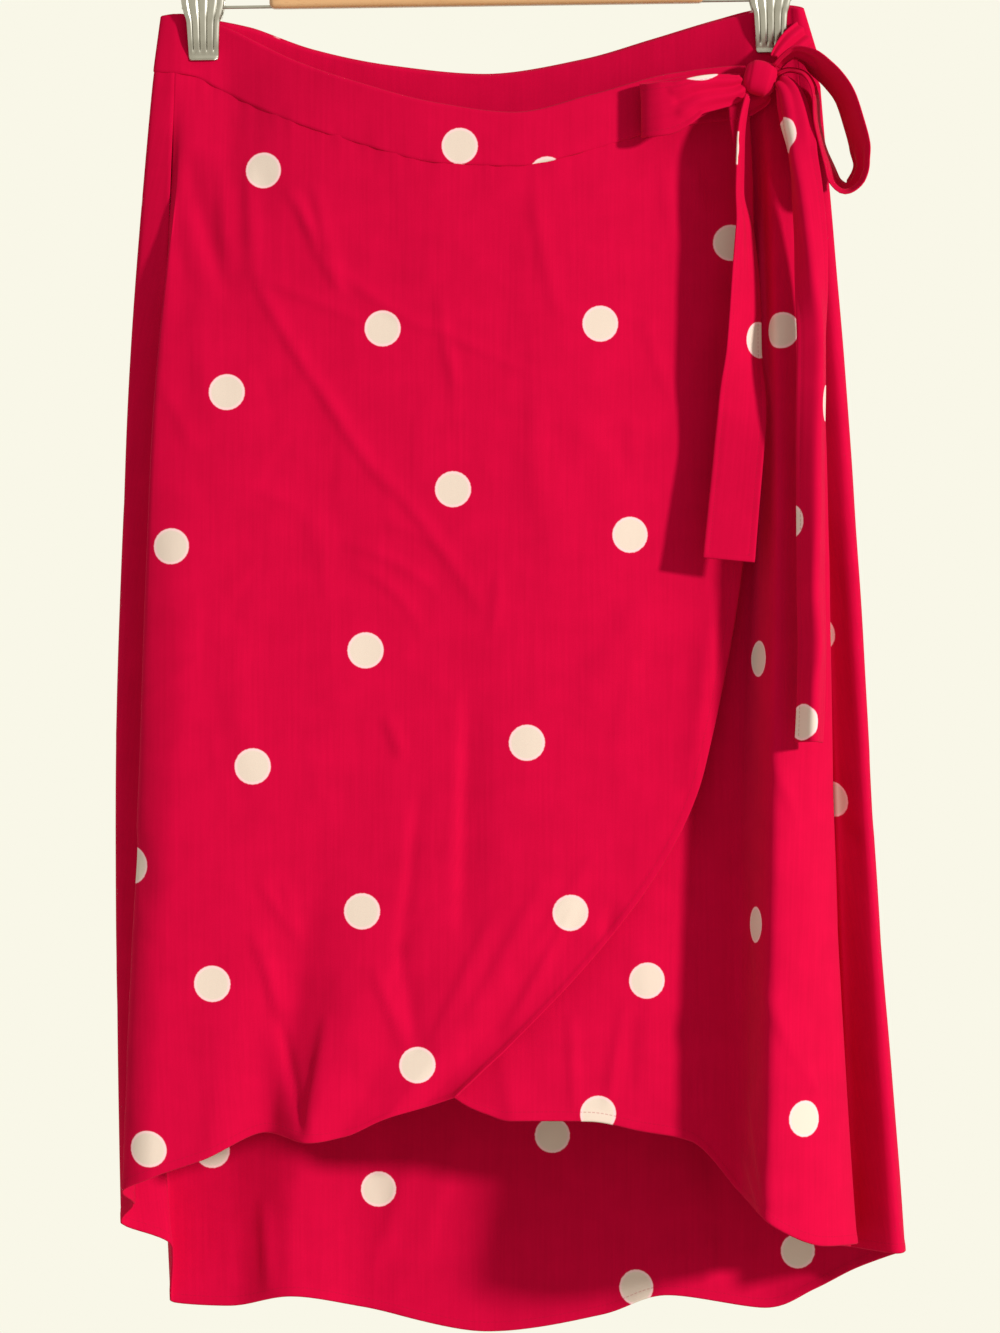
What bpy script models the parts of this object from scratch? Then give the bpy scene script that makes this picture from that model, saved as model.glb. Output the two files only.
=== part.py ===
"""A midi wrap skirt with a bow at the side, hanging flat from a wooden clip hanger.

The skirt is one long strip of cloth that goes round the body: overlap panel, back panel and
underlap panel, sewn to a waistband of the same three lengths. AROUND walks along that strip, one
row for each fold, so every piece is a stretch of the same smooth wall and meets its neighbour at
a seam. Tables are in millimetres: x to the right, y to the back, and drop below the hanger's rod.
The origin is where the rail touches the inside of the hook. Z is up and the front faces -Y.
"""
import math
from collections import namedtuple

import bpy
import numpy as np
from mathutils import Matrix, Vector

MM = 0.001

# Driving dimensions of the cloth, in millimetres.
PANEL_WALL = 1.2
BAND_WALL = 1.4
TIE_WALL = 1.2
BAND_HALF_SEAM = 0.2        # half of the gap between the waistband and a panel
LEFT_SEAM = 0.045           # share of a stretch left open on each side of the left side seam
RIGHT_SEAM = 0.06           # the same at the right side seam, down in a fold
BAND_SIDE_SEAM = 0.02       # the same for the waistband
COLUMNS_PER_STRETCH = 4
PANEL_ROWS = 15
BAND_ROWS = 2
TIE_COLUMNS_FLAT = 2
TIE_COLUMNS_FOLDED = 6
TIE_STEPS_PER_ROW = 2
FOLD_SOFTNESS = 2.2         # how far a folded tie takes to turn its corner
FINE_STEPS = 80             # across a tie, where its section is added up

# Driving dimensions of the hanger, in millimetres.
HOOK_WIRE_RADIUS = 1.8
HOOK_INNER_RADIUS = 20.0
HOOK_OPEN_ANGLE = -35.0     # where the hook's free end stops, from +X, in degrees
HOOK_NECK_ANGLE = 240.0     # where the hook's round part ends and its neck starts
HOOK_NECK = [(-4.5, -44.0), (-1.0, -49.5), (0.0, -56.0)]
SHANK_DEPTH = 12.0          # of the hole in the bar for the hook's shank
SHANK_FOOT_GAP = 0.5
SHANK_CLEARANCE = 0.35
BAR_TOP = 84.0              # below the origin
BAR_HEIGHT = 35.2
BAR_LENGTH = 260.5
BAR_THICKNESS = 12.0
BAR_ROUNDING = 3.5
ROD_ABOVE_BAR_FOOT = 1.4
ROD_RADIUS = 1.0
SOCKET_RADIUS = 1.35
SOCKET_DEPTH = 14.0
ROD_END_GAP = 0.4
HANG_TILT = 0.8             # the hanger hangs this many degrees up at the right
CLIP_OFFSET = 170.0         # from the middle of the bar to the middle of a clip
ROD_OVERHANG = 13.0         # of the rod past the middle of a clip
PLATE_WALL = 1.1
PLATE_RIB = 0.6             # how far the plate stands proud of its grooves
PLATE_COLUMNS = 14
PLATE_GROOVES = (2, 5, 8, 11)
GROOVE_TOP = -6.0
SPRING_RADIUS = 3.6
SPRING_BORE = 1.3
SPRING_LENGTH = 15.0
SPRING_CHAMFER = 0.6

ROD_Z = -(BAR_TOP + BAR_HEIGHT - ROD_ABOVE_BAR_FOOT)
CLIP_SHIFT = -ROD_Z * math.sin(math.radians(HANG_TILT))     # sideways, by the tilt

# A row for each fold, walking from the overlap's free edge to the left, round the back and on to
# the underlap's hidden free edge. Top and seam are the waistband's upper and lower edge.
Row = namedtuple("Row", """name top_x top_y top_drop seam_x seam_y seam_drop
                           hip_x hip_y knee_x knee_y hem_x hem_y hem_drop""")
AROUND = [
    Row("free edge", 154.5, -8, 38.5, 157, -8, 70, 157.5, -10, 129.5, -25, -18, -48, 653),
    Row("trough by edge", 111, -13, 43.5, 111, -13, 74.5, 113, -16, 91.5, -31, -36.5, -44, 659),
    Row("right front", 61.5, -19, 57, 63, -19, 88.5, 65.5, -24, 47.5, -35, -61, -49, 666),
    Row("middle front", 16.5, -22, 67.5, 16.5, -22, 98.5, 17.5, -28, -0.5, -37, -84, -49, 676),
    Row("hem crest", -29, -22, 62, -29.5, -22, 96.5, -30, -29, -49, -38, -106, -53, 679.5),
    Row("hem trough", -74.5, -19, 50, -75.5, -19, 85, -76.5, -28, -96.5, -37, -131.5, -37, 674),
    Row("left front", -113, -12, 36.5, -117.5, -14, 71, -119.5, -27, -143, -38, -167, -44, 689.5),
    Row("under clip", -158.5, -1.9, 14, -156, -3, 53.5, -163.5, -26, -184.5, -38, -198.5, -44, 700.5),
    Row("left crest", -172, -1.8, 10, -176.5, -2.3, 43, -200.5, -20, -208.5, -28, -217, -34, 710),
    Row("left seam", -184, -2.7, 7, -187, -2.8, 41.5, -195.5, -6, -201.5, -8, -211, -14, 718.5),
    Row("left side", -195, 0, 8, -199.5, 0, 40.5, -217, 4, -222, 4, -219.5, 4, 731),
    Row("left wing", -186, 2.6, 6.5, -189, 2.7, 40.5, -203, 16, -203, 22, -190, 26, 747.5),
    Row("left corner", -160, 1.8, 11, -162, 2.2, 42.5, -196, 30, -198, 44, -193, 58, 783),
    Row("back left", -142, 5, 14.5, -145.5, 6.5, 45, -158.5, 34, -159, 50, -156.5, 62, 786.5),
    Row("back trough", -103.5, 10, 27.5, -106.5, 12, 57.5, -113, 36, -113.5, 48, -119.5, 52, 780),
    Row("back wave", -58, 13, 36.5, -61, 14, 68, -64.5, 38, -68, 54, -74.5, 64, 787.5),
    Row("centre back", -1, 15, 41.5, -1, 15, 72.5, -4, 40, -5.5, 56, 0.5, 66, 802.5),
    Row("back swell", 57, 13, 33, 57, 14, 64.5, 59.5, 38, 62.5, 52, 69, 60, 792),
    Row("second trough", 98, 10, 21.5, 99.5, 11, 52.5, 108, 36, 112.5, 48, 110, 50, 779),
    Row("back right", 135.5, 6, 10.5, 137.5, 7, 41, 153, 34, 163, 50, 169.5, 60, 787.5),
    Row("right corner", 160, 0.9, 4.5, 162, 1.3, 36, 189.5, 28, 205, 40, 199.5, 54, 775.5),
    Row("right wing", 180.5, 0.9, 1.5, 182.5, 1.3, 32.5, 204.5, 20, 216.5, 30, 224.5, 34, 760.5),
    Row("right side", 189.5, -1.1, 3, 198.5, -1.3, 32.5, 218.5, 4, 233, 4, 251, 2, 748),
    Row("outer crest", 187, -3.2, 3.5, 191.5, -4, 33, 214, -6, 229, -10, 245, -15, 748),
    Row("right seam", 184.5, -2.4, 3, 186.5, -3, 33, 200, 0, 209, 2, 218.5, 4, 745.5),
    Row("pleat root", 182, -1.2, 3, 183.5, -1.8, 33, 195.5, -4, 201, -3, 210, -2, 744),
    Row("pleat edge", 178.5, -0.9, 3.5, 179.5, -1.5, 33.5, 203, -14, 207.5, -20, 221, -22, 741.5),
    Row("pleat face", 173, -0.9, 4, 173, -1.4, 35.5, 186.5, -28, 189.5, -44, 198.5, -56, 740),
    Row("pleat crest", 167, -0.9, 5, 166, -1.3, 37.5, 174.5, -32, 171, -54, 166, -72, 725),
    Row("pleat trough", 160, -0.9, 6, 158, -1, 40, 159, -4, 148.5, -12, 150, -28, 709.5),
    Row("flat right", 135.5, 3.4, 11.5, 137, 4, 42, 137, -4, 121.5, -11, 121.5, -24, 680),
    Row("flat middle", 98, 7.6, 22.5, 99.5, 8.4, 53.5, 103.5, -9, 91.5, -19, 91.5, -27, 674),
    Row("flat left", 56.5, 10.6, 34, 56.5, 11.6, 65.5, 61.5, -14, 55.5, -23, 61.5, -31, 668),
    Row("hidden middle", -1, 12.6, 42.5, -1, 12.6, 73.5, 14, -18, 8, -26, 32, -34, 667.5),
    Row("hidden left", -58, 10.6, 37.5, -61, 11.6, 69, -30, -18, -25, -26, 14, -36, 667.5),
    Row("hidden fall", -103.5, 7.6, 28.5, -106.5, 9.4, 58.5, -75, -18, -60, -26, 0, -36, 663.5),
    Row("hidden edge fall", -142, 2.8, 15.5, -145.5, 4.2, 46, -112, -18, -88, -26, -10, -36, 659.5),
    Row("hidden by clip", -160, 0, 11.5, -162, 0.2, 43.5, -138, -16, -108, -26, -19, -36, 654),
    Row("hidden edge", -174, 0, 10, -172, 0, 42.5, -159.5, -14, -123, -26, -27.5, -36, 646.5),
]
WHERE = {row.name: place for place, row in enumerate(AROUND)}

# A row for each bend of a tie. Turn rolls the tie about its own path, and fold bends its left
# half back, both in degrees.
Bend = namedtuple("Bend", "name x y drop turn fold width")
TAIL_FRONT = [
    Bend("under the knot", 155.5, -24.5, 58, 80, 0, 11),
    Bend("edge on", 151.5, -27, 84, 80, 0, 25),
    Bend("edge on, low", 151, -26, 113.5, 79, 0, 28),
    Bend("opening", 154, -26, 137.5, 67, 0, 28.5),
    Bend("half open", 154.5, -27, 174.5, 52, 0, 29),
    Bend("open", 153.5, -28, 209.5, 43, 0, 29),
    Bend("full width", 152.5, -29, 242.5, 13, 0, 29),
    Bend("flat", 150, -30, 271.5, 0, 0, 29),
    Bend("flat, low", 146.5, -32, 307.5, 0, 0, 29.5),
    Bend("end", 144, -34, 334, 0, 0, 30),
]
TAIL_SIDE = [
    Bend("beside the knot", 174, -26, 48.5, 35, 60, 10),
    Bend("over the top", 179.5, -32, 56.5, 30, 80, 20),
    Bend("turning down", 181.5, -36, 74, 20, 90, 27),
    Bend("down", 182, -38, 90.5, 12, 100, 29),
    Bend("facing right", 186.5, -41, 114.5, 28, 105, 29),
    Bend("turning", 190, -43, 138.5, 38, 105, 29),
    Bend("turning left", 194, -46, 168.5, 58, 105, 29),
    Bend("facing left", 198, -49, 201, 82, 105, 29),
    Bend("facing left, low", 197.5, -51, 228, 80, 105, 29),
    Bend("easing", 196, -54, 269.5, 69, 105, 29),
    Bend("easing, low", 195.5, -58, 311, 64, 105, 29),
    Bend("half way", 194, -62, 352.5, 54, 105, 29),
    Bend("kink", 196, -64, 385, 64, 105, 29),
    Bend("below the kink", 193.5, -66, 411.5, 50, 105, 29),
    Bend("end", 193, -68, 441.5, 56, 105, 29),
]
LOOP_RIGHT = [
    Bend("out of the knot", 173.6, -22, 39.5, -60, 0, 9),
    Bend("rising", 179, -24, 34, -70, 0, 15),
    Bend("top", 184, -25, 31.5, -74, 0, 20),
    Bend("over", 190.5, -25.5, 33.5, -72, 0, 25),
    Bend("falling", 198, -26, 39.5, -68, 0, 29),
    Bend("falling, mid", 206.5, -26, 47.5, -68, 0, 29),
    Bend("outer", 213.5, -26, 57.5, -69, 0, 29),
    Bend("outer, low", 218.5, -26, 72, -69, 0, 29),
    Bend("low", 222.5, -26, 87.5, -69, 0, 29),
    Bend("twist", 223.5, -26, 98, -74, 0, 28),
    Bend("bottom", 220, -26, 108, -72, 0, 28),
    Bend("bottom turn", 213.5, -25, 112, -72, 0, 28),
    Bend("turning up", 208, -24, 108, -72, 0, 28),
    Bend("rising strand", 204.5, -23, 98.5, -76, 0, 29),
    Bend("rising strand, mid", 200, -22, 85, -80, 0, 29),
    Bend("rising strand, high", 197, -22, 70.5, -80, 0, 29),
    Bend("high", 196.5, -22, 58, -80, 0, 29),
    Bend("bending back", 193.5, -22, 48.5, -80, 0, 25),
    Bend("back", 188, -21, 43, -80, 0, 18),
    Bend("into the knot", 181, -20, 41.5, -80, 0, 11),
    Bend("end", 173.7, -20, 43.7, -75, 0, 8),
]
LOOP_LEFT = [
    Bend("out of the knot", 153.6, -23, 50, 0, 0, 12),
    Bend("spreading", 147, -26, 53.5, 0, 0, 17),
    Bend("notch", 135.5, -30, 55.5, 0, 0, 20.5),
    Bend("below the notch", 125, -33, 58, 0, 0, 22),
    Bend("wide", 115.5, -34, 62.5, 0, 0, 27),
    Bend("full", 105.5, -34, 65.5, 0, 0, 31),
    Bend("end, front", 97, -32, 66.5, 0, 0, 31),
    Bend("end", 92.5, -27.3, 66.5, 0, 0, 31),
    Bend("end, back", 97, -22.6, 65, 0, 0, 31),
    Bend("back", 106, -20.5, 63, 0, 0, 30),
    Bend("back, mid", 121.5, -19, 58, 0, 0, 26),
    Bend("back, near", 138, -17.5, 53, 0, 0, 18),
    Bend("into the knot", 153, -16.5, 49, 0, 0, 11),
]
TIE_FROM_SIDE = [
    Bend("sewn on", 190.5, -5.2, 17.5, 0, 0, 15),
    Bend("folding", 184.5, -9.4, 22.5, 0, 0, 15),
    Bend("gathered", 177.8, -13, 29, 0, 0, 12),
    Bend("into the knot", 173.2, -16.5, 34.5, 0, 0, 8),
]
TIE_FROM_BAND = [
    Bend("band end", 156.6, -8.3, 54, 0, 0, 28.6),
    Bend("narrowing", 161.8, -9.7, 53.5, 0, 0, 22),
    Bend("behind the knot", 166, -11.7, 51, 0, 0, 17),
]
KNOT_MIDDLE = (163.3, -20.0, 46.5)
KNOT_HALF = (9.6, 8.0, 10.2)
KNOT_LEAN = 14.0            # degrees
SOFT_CUBE = 1.22            # a cube loses this factor of its size when it is subdivided round

# The clip plates: a row for each height, with the half width and the distance of the plate from
# the cloth's middle plane.
Plate = namedtuple("Plate", "drop half_width reach")
PLATE = [
    Plate(-20.0, 11.0, 13.0),
    Plate(-12.0, 12.5, 9.0),
    Plate(-4.0, 12.5, 5.6),
    Plate(4.0, 11.0, 5.2),
    Plate(9.0, 9.6, 4.6),
    Plate(20.0, 9.0, 3.0),
    Plate(29.5, 8.6, 0.0),
    Plate(31.5, 7.8, 0.5),
]
# Half of the cloth that each clip holds, in front of and behind the clip's middle plane.
CLIP_HOLDS = {"left": (1.8, 1.8), "right": (0.9, 0.9)}
CLIP_PLAY = 1.5             # from the cloth's middle to the jaw's own middle, past half the wall

RED = (0.62, 0.003, 0.04, 1)
WOOD = ("beech", (0.62, 0.35, 0.16, 1), 0.45, 0.0)
STEEL = ("nickel", (0.50, 0.49, 0.45, 1), 0.25, 1.0)


def clear_scene():
    for thing in list(bpy.data.objects):
        bpy.data.objects.remove(thing, do_unlink=True)


def collection_named(name):
    made = bpy.data.collections.new(name)
    bpy.context.scene.collection.children.link(made)
    return made


def give_material(thing, name, colour, roughness, metallic):
    material = bpy.data.materials.new(name + "_" + thing.name)
    material.use_nodes = True
    shader = material.node_tree.nodes["Principled BSDF"]
    shader.inputs["Base Color"].default_value = colour
    shader.inputs["Roughness"].default_value = roughness
    shader.inputs["Metallic"].default_value = metallic
    thing.data.materials.clear()
    thing.data.materials.append(material)


def smooth(values, places):
    """Values at fractional places along axis 0, on a monotone cubic through the given ones."""
    values = np.asarray(values, float)
    steps = np.diff(values, axis=0)
    before, after = steps[:-1], steps[1:]
    same_way = before * after > 0
    total = np.where(same_way, before + after, 1.0)
    inner = np.where(same_way, 2 * before * after / total, 0.0)
    first = np.where(steps[0] * (3 * steps[0] - steps[1]) > 0, (3 * steps[0] - steps[1]) / 2, 0)
    last = np.where(steps[-1] * (3 * steps[-1] - steps[-2]) > 0, (3 * steps[-1] - steps[-2]) / 2, 0)
    slopes = np.concatenate([first[None], inner, last[None]])
    places = np.clip(np.asarray(places, float), 0, len(values) - 1)
    low = np.minimum(places.astype(int), len(values) - 2)
    t = (places - low).reshape((-1,) + (1,) * (values.ndim - 1))
    return (
        values[low] * (1 - 3 * t**2 + 2 * t**3)
        + values[low + 1] * (3 * t**2 - 2 * t**3)
        + slopes[low] * (t - 2 * t**2 + t**3)
        + slopes[low + 1] * (t**3 - t**2)
    )


def grid_object(name, grid, wall, home, shift=CLIP_SHIFT):
    """An open sheet through a rows x columns grid of (x, y, drop) points, with its wall."""
    rows, columns = grid.shape[:2]
    points = np.stack([grid[..., 0] + shift, grid[..., 1], ROD_Z - grid[..., 2]], axis=-1) * MM
    corner = (np.arange(rows - 1)[:, None] * columns + np.arange(columns - 1)).ravel()
    faces = np.stack([corner, corner + 1, corner + columns + 1, corner + columns], axis=1)
    mesh = bpy.data.meshes.new(name)
    mesh.from_pydata(points.reshape(-1, 3).tolist(), [], faces.tolist())
    mesh.shade_smooth()
    thing = bpy.data.objects.new(name, mesh)
    home.objects.link(thing)
    solid = thing.modifiers.new("wall", "SOLIDIFY")
    solid.thickness = wall * MM
    solid.offset = 0
    give_material(thing, "cloth_red", RED, 0.75, 0.0)
    return thing


def places_between(first, last, at_first, at_last):
    """Column places along AROUND from one named row to another, short of each by a seam."""
    start, end = WHERE[first], WHERE[last]
    places = np.linspace(start, end, (end - start) * COLUMNS_PER_STRETCH + 1)
    places[0] += at_first
    places[-1] -= at_last
    return places


def panel_grid(places):
    """The wall below the waistband: each column falls from its seam to its own hem."""
    level_x = smooth([(r.seam_x, r.hip_x, r.knee_x, r.hem_x) for r in AROUND], places)
    level_y = smooth([(r.seam_y, r.hip_y, r.knee_y, r.hem_y) for r in AROUND], places)
    ends = smooth([(r.seam_drop, r.hem_drop) for r in AROUND], places)
    down = np.linspace(0, 1, PANEL_ROWS)
    x = smooth(level_x.T, down * 3)
    y = smooth(level_y.T, down * 3)
    start = ends[:, 0] + BAND_HALF_SEAM
    drop = start + (ends[:, 1] - start) * down[:, None]
    return np.stack([x, y, drop], axis=-1)


def band_grid(places):
    top = smooth([(r.top_x, r.top_y, r.top_drop) for r in AROUND], places)
    seam = smooth([(r.seam_x, r.seam_y, r.seam_drop - BAND_HALF_SEAM) for r in AROUND], places)
    down = np.linspace(0, 1, BAND_ROWS + 1)[:, None, None]
    return top + (seam - top) * down


def make_cloth_round_the_body(home):
    panels = {
        "overlap": ("free edge", "left seam", 0, LEFT_SEAM),
        "back": ("left seam", "right seam", LEFT_SEAM, RIGHT_SEAM),
        "underlap": ("right seam", "hidden edge", RIGHT_SEAM, 0),
    }
    bands = {
        "overlap": ("free edge", "left wing", 0, BAND_SIDE_SEAM),
        "back": ("left wing", "right wing", BAND_SIDE_SEAM, BAND_SIDE_SEAM),
        "underlap": ("right wing", "hidden edge", BAND_SIDE_SEAM, 0),
    }
    for name, stretch in panels.items():
        grid_object(name + "_panel", panel_grid(places_between(*stretch)), PANEL_WALL, home)
    for name, stretch in bands.items():
        grid_object("waistband_" + name, band_grid(places_between(*stretch)), BAND_WALL, home)


def tie_grid(bends, columns, side=None):
    """A tie along its bends. Its width lies across the path, rolled by turn, bent by fold."""
    table = np.array([bend[1:] for bend in bends], float)
    count = (len(bends) - 1) * TIE_STEPS_PER_ROW + 1
    rows = smooth(table, np.linspace(0, len(bends) - 1, count))
    path = np.stack([rows[:, 0], rows[:, 1], -rows[:, 2]], axis=1)
    along = np.gradient(path, axis=0)
    along /= np.linalg.norm(along, axis=1)[:, None]
    if side is None:
        across = np.stack([-along[:, 2], np.zeros(count), along[:, 0]], axis=1)
    else:
        across = np.tile(np.array(side, float), (count, 1))
    across -= (across * along).sum(1)[:, None] * along
    across /= np.linalg.norm(across, axis=1)[:, None]
    depth = np.cross(along, across)
    depth *= np.where(depth[:, 1] < 0, -1.0, 1.0)[:, None]
    share = np.linspace(-0.5, 0.5, columns + 1)
    fine = np.linspace(-0.5, 0.5, FINE_STEPS + 1)
    reach = fine[None, :] * rows[:, 5:6]
    right, folded = np.radians(rows[:, 3:4]), np.radians(rows[:, 4:5])
    angle = right - folded * (0.5 - 0.5 * np.tanh(reach / FOLD_SOFTNESS))
    step = np.diff(reach, axis=1)
    middle = (angle[:, 1:] + angle[:, :-1]) / 2
    sideways = np.cumsum(np.cos(middle) * step, axis=1)
    backwards = np.cumsum(np.sin(middle) * step, axis=1)
    sideways = np.hstack([np.zeros((count, 1)), sideways])
    backwards = np.hstack([np.zeros((count, 1)), backwards])
    half = FINE_STEPS // 2
    sideways -= sideways[:, half:half + 1]
    backwards -= backwards[:, half:half + 1]
    pick = np.rint((share + 0.5) * FINE_STEPS).astype(int)
    grid = (path[:, None] + sideways[:, pick, None] * across[:, None]
            + backwards[:, pick, None] * depth[:, None])
    grid[..., 2] *= -1
    return grid


def make_ties(home):
    up = (0, 0, 1)
    grid_object("tail_front", tie_grid(TAIL_FRONT, TIE_COLUMNS_FLAT), TIE_WALL, home)
    grid_object("tail_side", tie_grid(TAIL_SIDE, TIE_COLUMNS_FOLDED), TIE_WALL, home)
    grid_object("bow_loop_right", tie_grid(LOOP_RIGHT, TIE_COLUMNS_FLAT), TIE_WALL, home)
    grid_object("bow_loop_left", tie_grid(LOOP_LEFT, TIE_COLUMNS_FLAT, up), TIE_WALL, home)
    grid_object("tie_from_side", tie_grid(TIE_FROM_SIDE, TIE_COLUMNS_FLAT), TIE_WALL, home)
    grid_object("tie_from_band", tie_grid(TIE_FROM_BAND, TIE_COLUMNS_FLAT, up), TIE_WALL, home)


def make_knot(home):
    bpy.ops.mesh.primitive_cube_add(size=2)
    knot = bpy.context.object
    knot.name = knot.data.name = "bow_knot"
    for point in knot.data.vertices:
        point.co = Vector([c * half * MM * SOFT_CUBE for c, half in zip(point.co, KNOT_HALF)])
    across, depth, drop = KNOT_MIDDLE
    knot.location = ((across + CLIP_SHIFT) * MM, depth * MM, (ROD_Z - drop) * MM)
    knot.rotation_euler = (0, math.radians(KNOT_LEAN), 0)
    soft = knot.modifiers.new("soft", "SUBSURF")
    soft.levels = soft.render_levels = 3
    knot.data.shade_smooth()
    move_to(knot, home)
    give_material(knot, "cloth_red", RED, 0.75, 0.0)


def move_to(thing, home):
    for holder in list(thing.users_collection):
        holder.objects.unlink(thing)
    home.objects.link(thing)


def tilted(thing):
    """Turns a hanger piece about the rail by the angle at which the hanger hangs."""
    thing.matrix_world = Matrix.Rotation(math.radians(-HANG_TILT), 4, "Y") @ thing.matrix_basis


def make_bar(home, cutters):
    bpy.ops.mesh.primitive_cube_add(size=1)
    bar = bpy.context.object
    bar.name = bar.data.name = "hanger_bar"
    size = (BAR_LENGTH * MM, BAR_THICKNESS * MM, BAR_HEIGHT * MM)
    bar.data.transform(Matrix.Diagonal((*size, 1)))
    bar.location = (0, 0, -(BAR_TOP + BAR_HEIGHT / 2) * MM)
    rounded = bar.modifiers.new("rounded", "BEVEL")
    rounded.width = BAR_ROUNDING * MM
    rounded.segments = 3
    move_to(bar, home)
    give_material(bar, *WOOD)
    for side, way in (("left", -1), ("right", 1)):
        middle = way * (BAR_LENGTH / 2 - SOCKET_DEPTH / 2 + 1) * MM
        bpy.ops.mesh.primitive_cylinder_add(
            vertices=16, radius=SOCKET_RADIUS * MM, depth=(SOCKET_DEPTH + 2) * MM,
            location=(middle, 0, ROD_Z * MM), rotation=(0, math.pi / 2, 0))
        socket = bpy.context.object
        socket.name = "cut_socket_" + side
        cut_from(bar, socket, cutters)
    bpy.ops.mesh.primitive_cylinder_add(
        vertices=16, radius=(HOOK_WIRE_RADIUS + SHANK_CLEARANCE) * MM,
        depth=2 * SHANK_DEPTH * MM,
        location=(0, 0, -BAR_TOP * MM))
    shank = bpy.context.object
    shank.name = "cut_shank"
    cut_from(bar, shank, cutters)
    tilted(bar)


def cut_from(thing, cutter, cutters):
    move_to(cutter, cutters)
    cutter.hide_render = True
    cutter.display_type = "WIRE"
    tilted(cutter)
    cut = thing.modifiers.new("cut " + cutter.name, "BOOLEAN")
    cut.operation = "DIFFERENCE"
    cut.object = cutter


def make_hook(home):
    """A round wire hook: up out of the bar, over the rail, and open at the front end."""
    centre_z = -HOOK_INNER_RADIUS
    radius = HOOK_INNER_RADIUS + HOOK_WIRE_RADIUS
    turn = np.radians(np.linspace(HOOK_OPEN_ANGLE, HOOK_NECK_ANGLE, 19))
    arc = [(radius * math.cos(a), centre_z + radius * math.sin(a)) for a in turn]
    neck = HOOK_NECK + [(0.0, -(BAR_TOP + SHANK_DEPTH - SHANK_FOOT_GAP))]
    curve = bpy.data.curves.new("hanger_hook", "CURVE")
    curve.dimensions = "3D"
    curve.bevel_depth = HOOK_WIRE_RADIUS * MM
    curve.bevel_resolution = 2
    curve.use_fill_caps = True
    spline = curve.splines.new("POLY")
    route = arc + neck
    spline.points.add(len(route) - 1)
    for point, (x, z) in zip(spline.points, route):
        point.co = (x * MM, 0, z * MM, 1)
    hook = bpy.data.objects.new("hanger_hook", curve)
    home.objects.link(hook)
    give_material(hook, *STEEL)
    tilted(hook)


def make_rods(home):
    for side, way in (("left", -1), ("right", 1)):
        inner = BAR_LENGTH / 2 - SOCKET_DEPTH + ROD_END_GAP
        outer = CLIP_OFFSET + ROD_OVERHANG
        bpy.ops.mesh.primitive_cylinder_add(
            vertices=12, radius=ROD_RADIUS * MM, depth=(outer - inner) * MM,
            location=(way * (inner + outer) / 2 * MM, 0, ROD_Z * MM),
            rotation=(0, math.pi / 2, 0))
        rod = bpy.context.object
        rod.name = rod.data.name = "hanger_rod_" + side
        rod.data.shade_smooth()
        rod.data.set_sharp_from_angle(angle=math.radians(50))
        move_to(rod, home)
        give_material(rod, *STEEL)
        tilted(rod)


def plate_grid(way, hold):
    """A pressed clip plate: its heights from PLATE, with four grooves down its face."""
    across = np.linspace(-1, 1, PLATE_COLUMNS)
    groove = np.isin(np.arange(PLATE_COLUMNS), PLATE_GROOVES)
    rows = []
    for plate in PLATE:
        proud = np.where(groove & (plate.drop > GROOVE_TOP), 0.0, PLATE_RIB)
        reach = way * (hold + CLIP_PLAY + PLATE_WALL / 2 + plate.reach + proud)
        rows.append(np.stack([across * plate.half_width, reach,
                              np.full(PLATE_COLUMNS, plate.drop)], axis=1))
    return np.array(rows)


def make_clips(home):
    for side, way in (("left", -1), ("right", 1)):
        middle = way * CLIP_OFFSET
        front, back = CLIP_HOLDS[side]
        for face, towards, hold in (("front", -1, front), ("back", 1, back)):
            grid = plate_grid(towards, hold)
            grid[..., 0] += middle
            plate = grid_object(f"clip_{side}_{face}", grid, PLATE_WALL, home, shift=0)
            give_material(plate, *STEEL)
            tilted(plate)
        make_spring(side, middle, home)


def make_spring(side, middle, home):
    """The clip's spring coil, as a turned sleeve on the rod."""
    half = SPRING_LENGTH / 2
    rim, edge = SPRING_RADIUS - SPRING_CHAMFER, half - SPRING_CHAMFER
    outline = [(SPRING_BORE, -half), (SPRING_BORE, half), (rim, half),
               (SPRING_RADIUS, edge), (SPRING_RADIUS, -edge), (rim, -half)]
    mesh = bpy.data.meshes.new("clip_spring_" + side)
    points = [(radius * MM, 0, height * MM) for radius, height in outline]
    edges = [(i, (i + 1) % len(outline)) for i in range(len(outline))]
    mesh.from_pydata(points, edges, [])
    spring = bpy.data.objects.new("clip_spring_" + side, mesh)
    home.objects.link(spring)
    turned = spring.modifiers.new("turned", "SCREW")
    turned.steps = turned.render_steps = 16
    turned.use_merge_vertices = True
    turned.merge_threshold = 0.05 * MM
    spring.rotation_euler = (0, math.pi / 2, 0)
    spring.location = (middle * MM, 0, ROD_Z * MM)
    give_material(spring, *STEEL)
    tilted(spring)


def main():
    clear_scene()
    home = collection_named("wrap_skirt_on_clip_hanger")
    cutters = collection_named("cutters")
    make_cloth_round_the_body(home)
    make_ties(home)
    make_knot(home)
    make_bar(home, cutters)
    make_hook(home)
    make_rods(home)
    make_clips(home)


main()
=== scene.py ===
# %% [markdown]
# # A red wrap skirt with polka dots, on a wooden clip hanger
#
# The solid model of the skirt is already packed as a frame: it says where every piece is. This
# lesson dresses it. Each piece of cloth becomes a thin shell with hems, stitches and creases, and
# the hanger gets its wire, springs and beech grain.

# %% Load the frame
import math
from collections import namedtuple

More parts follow.
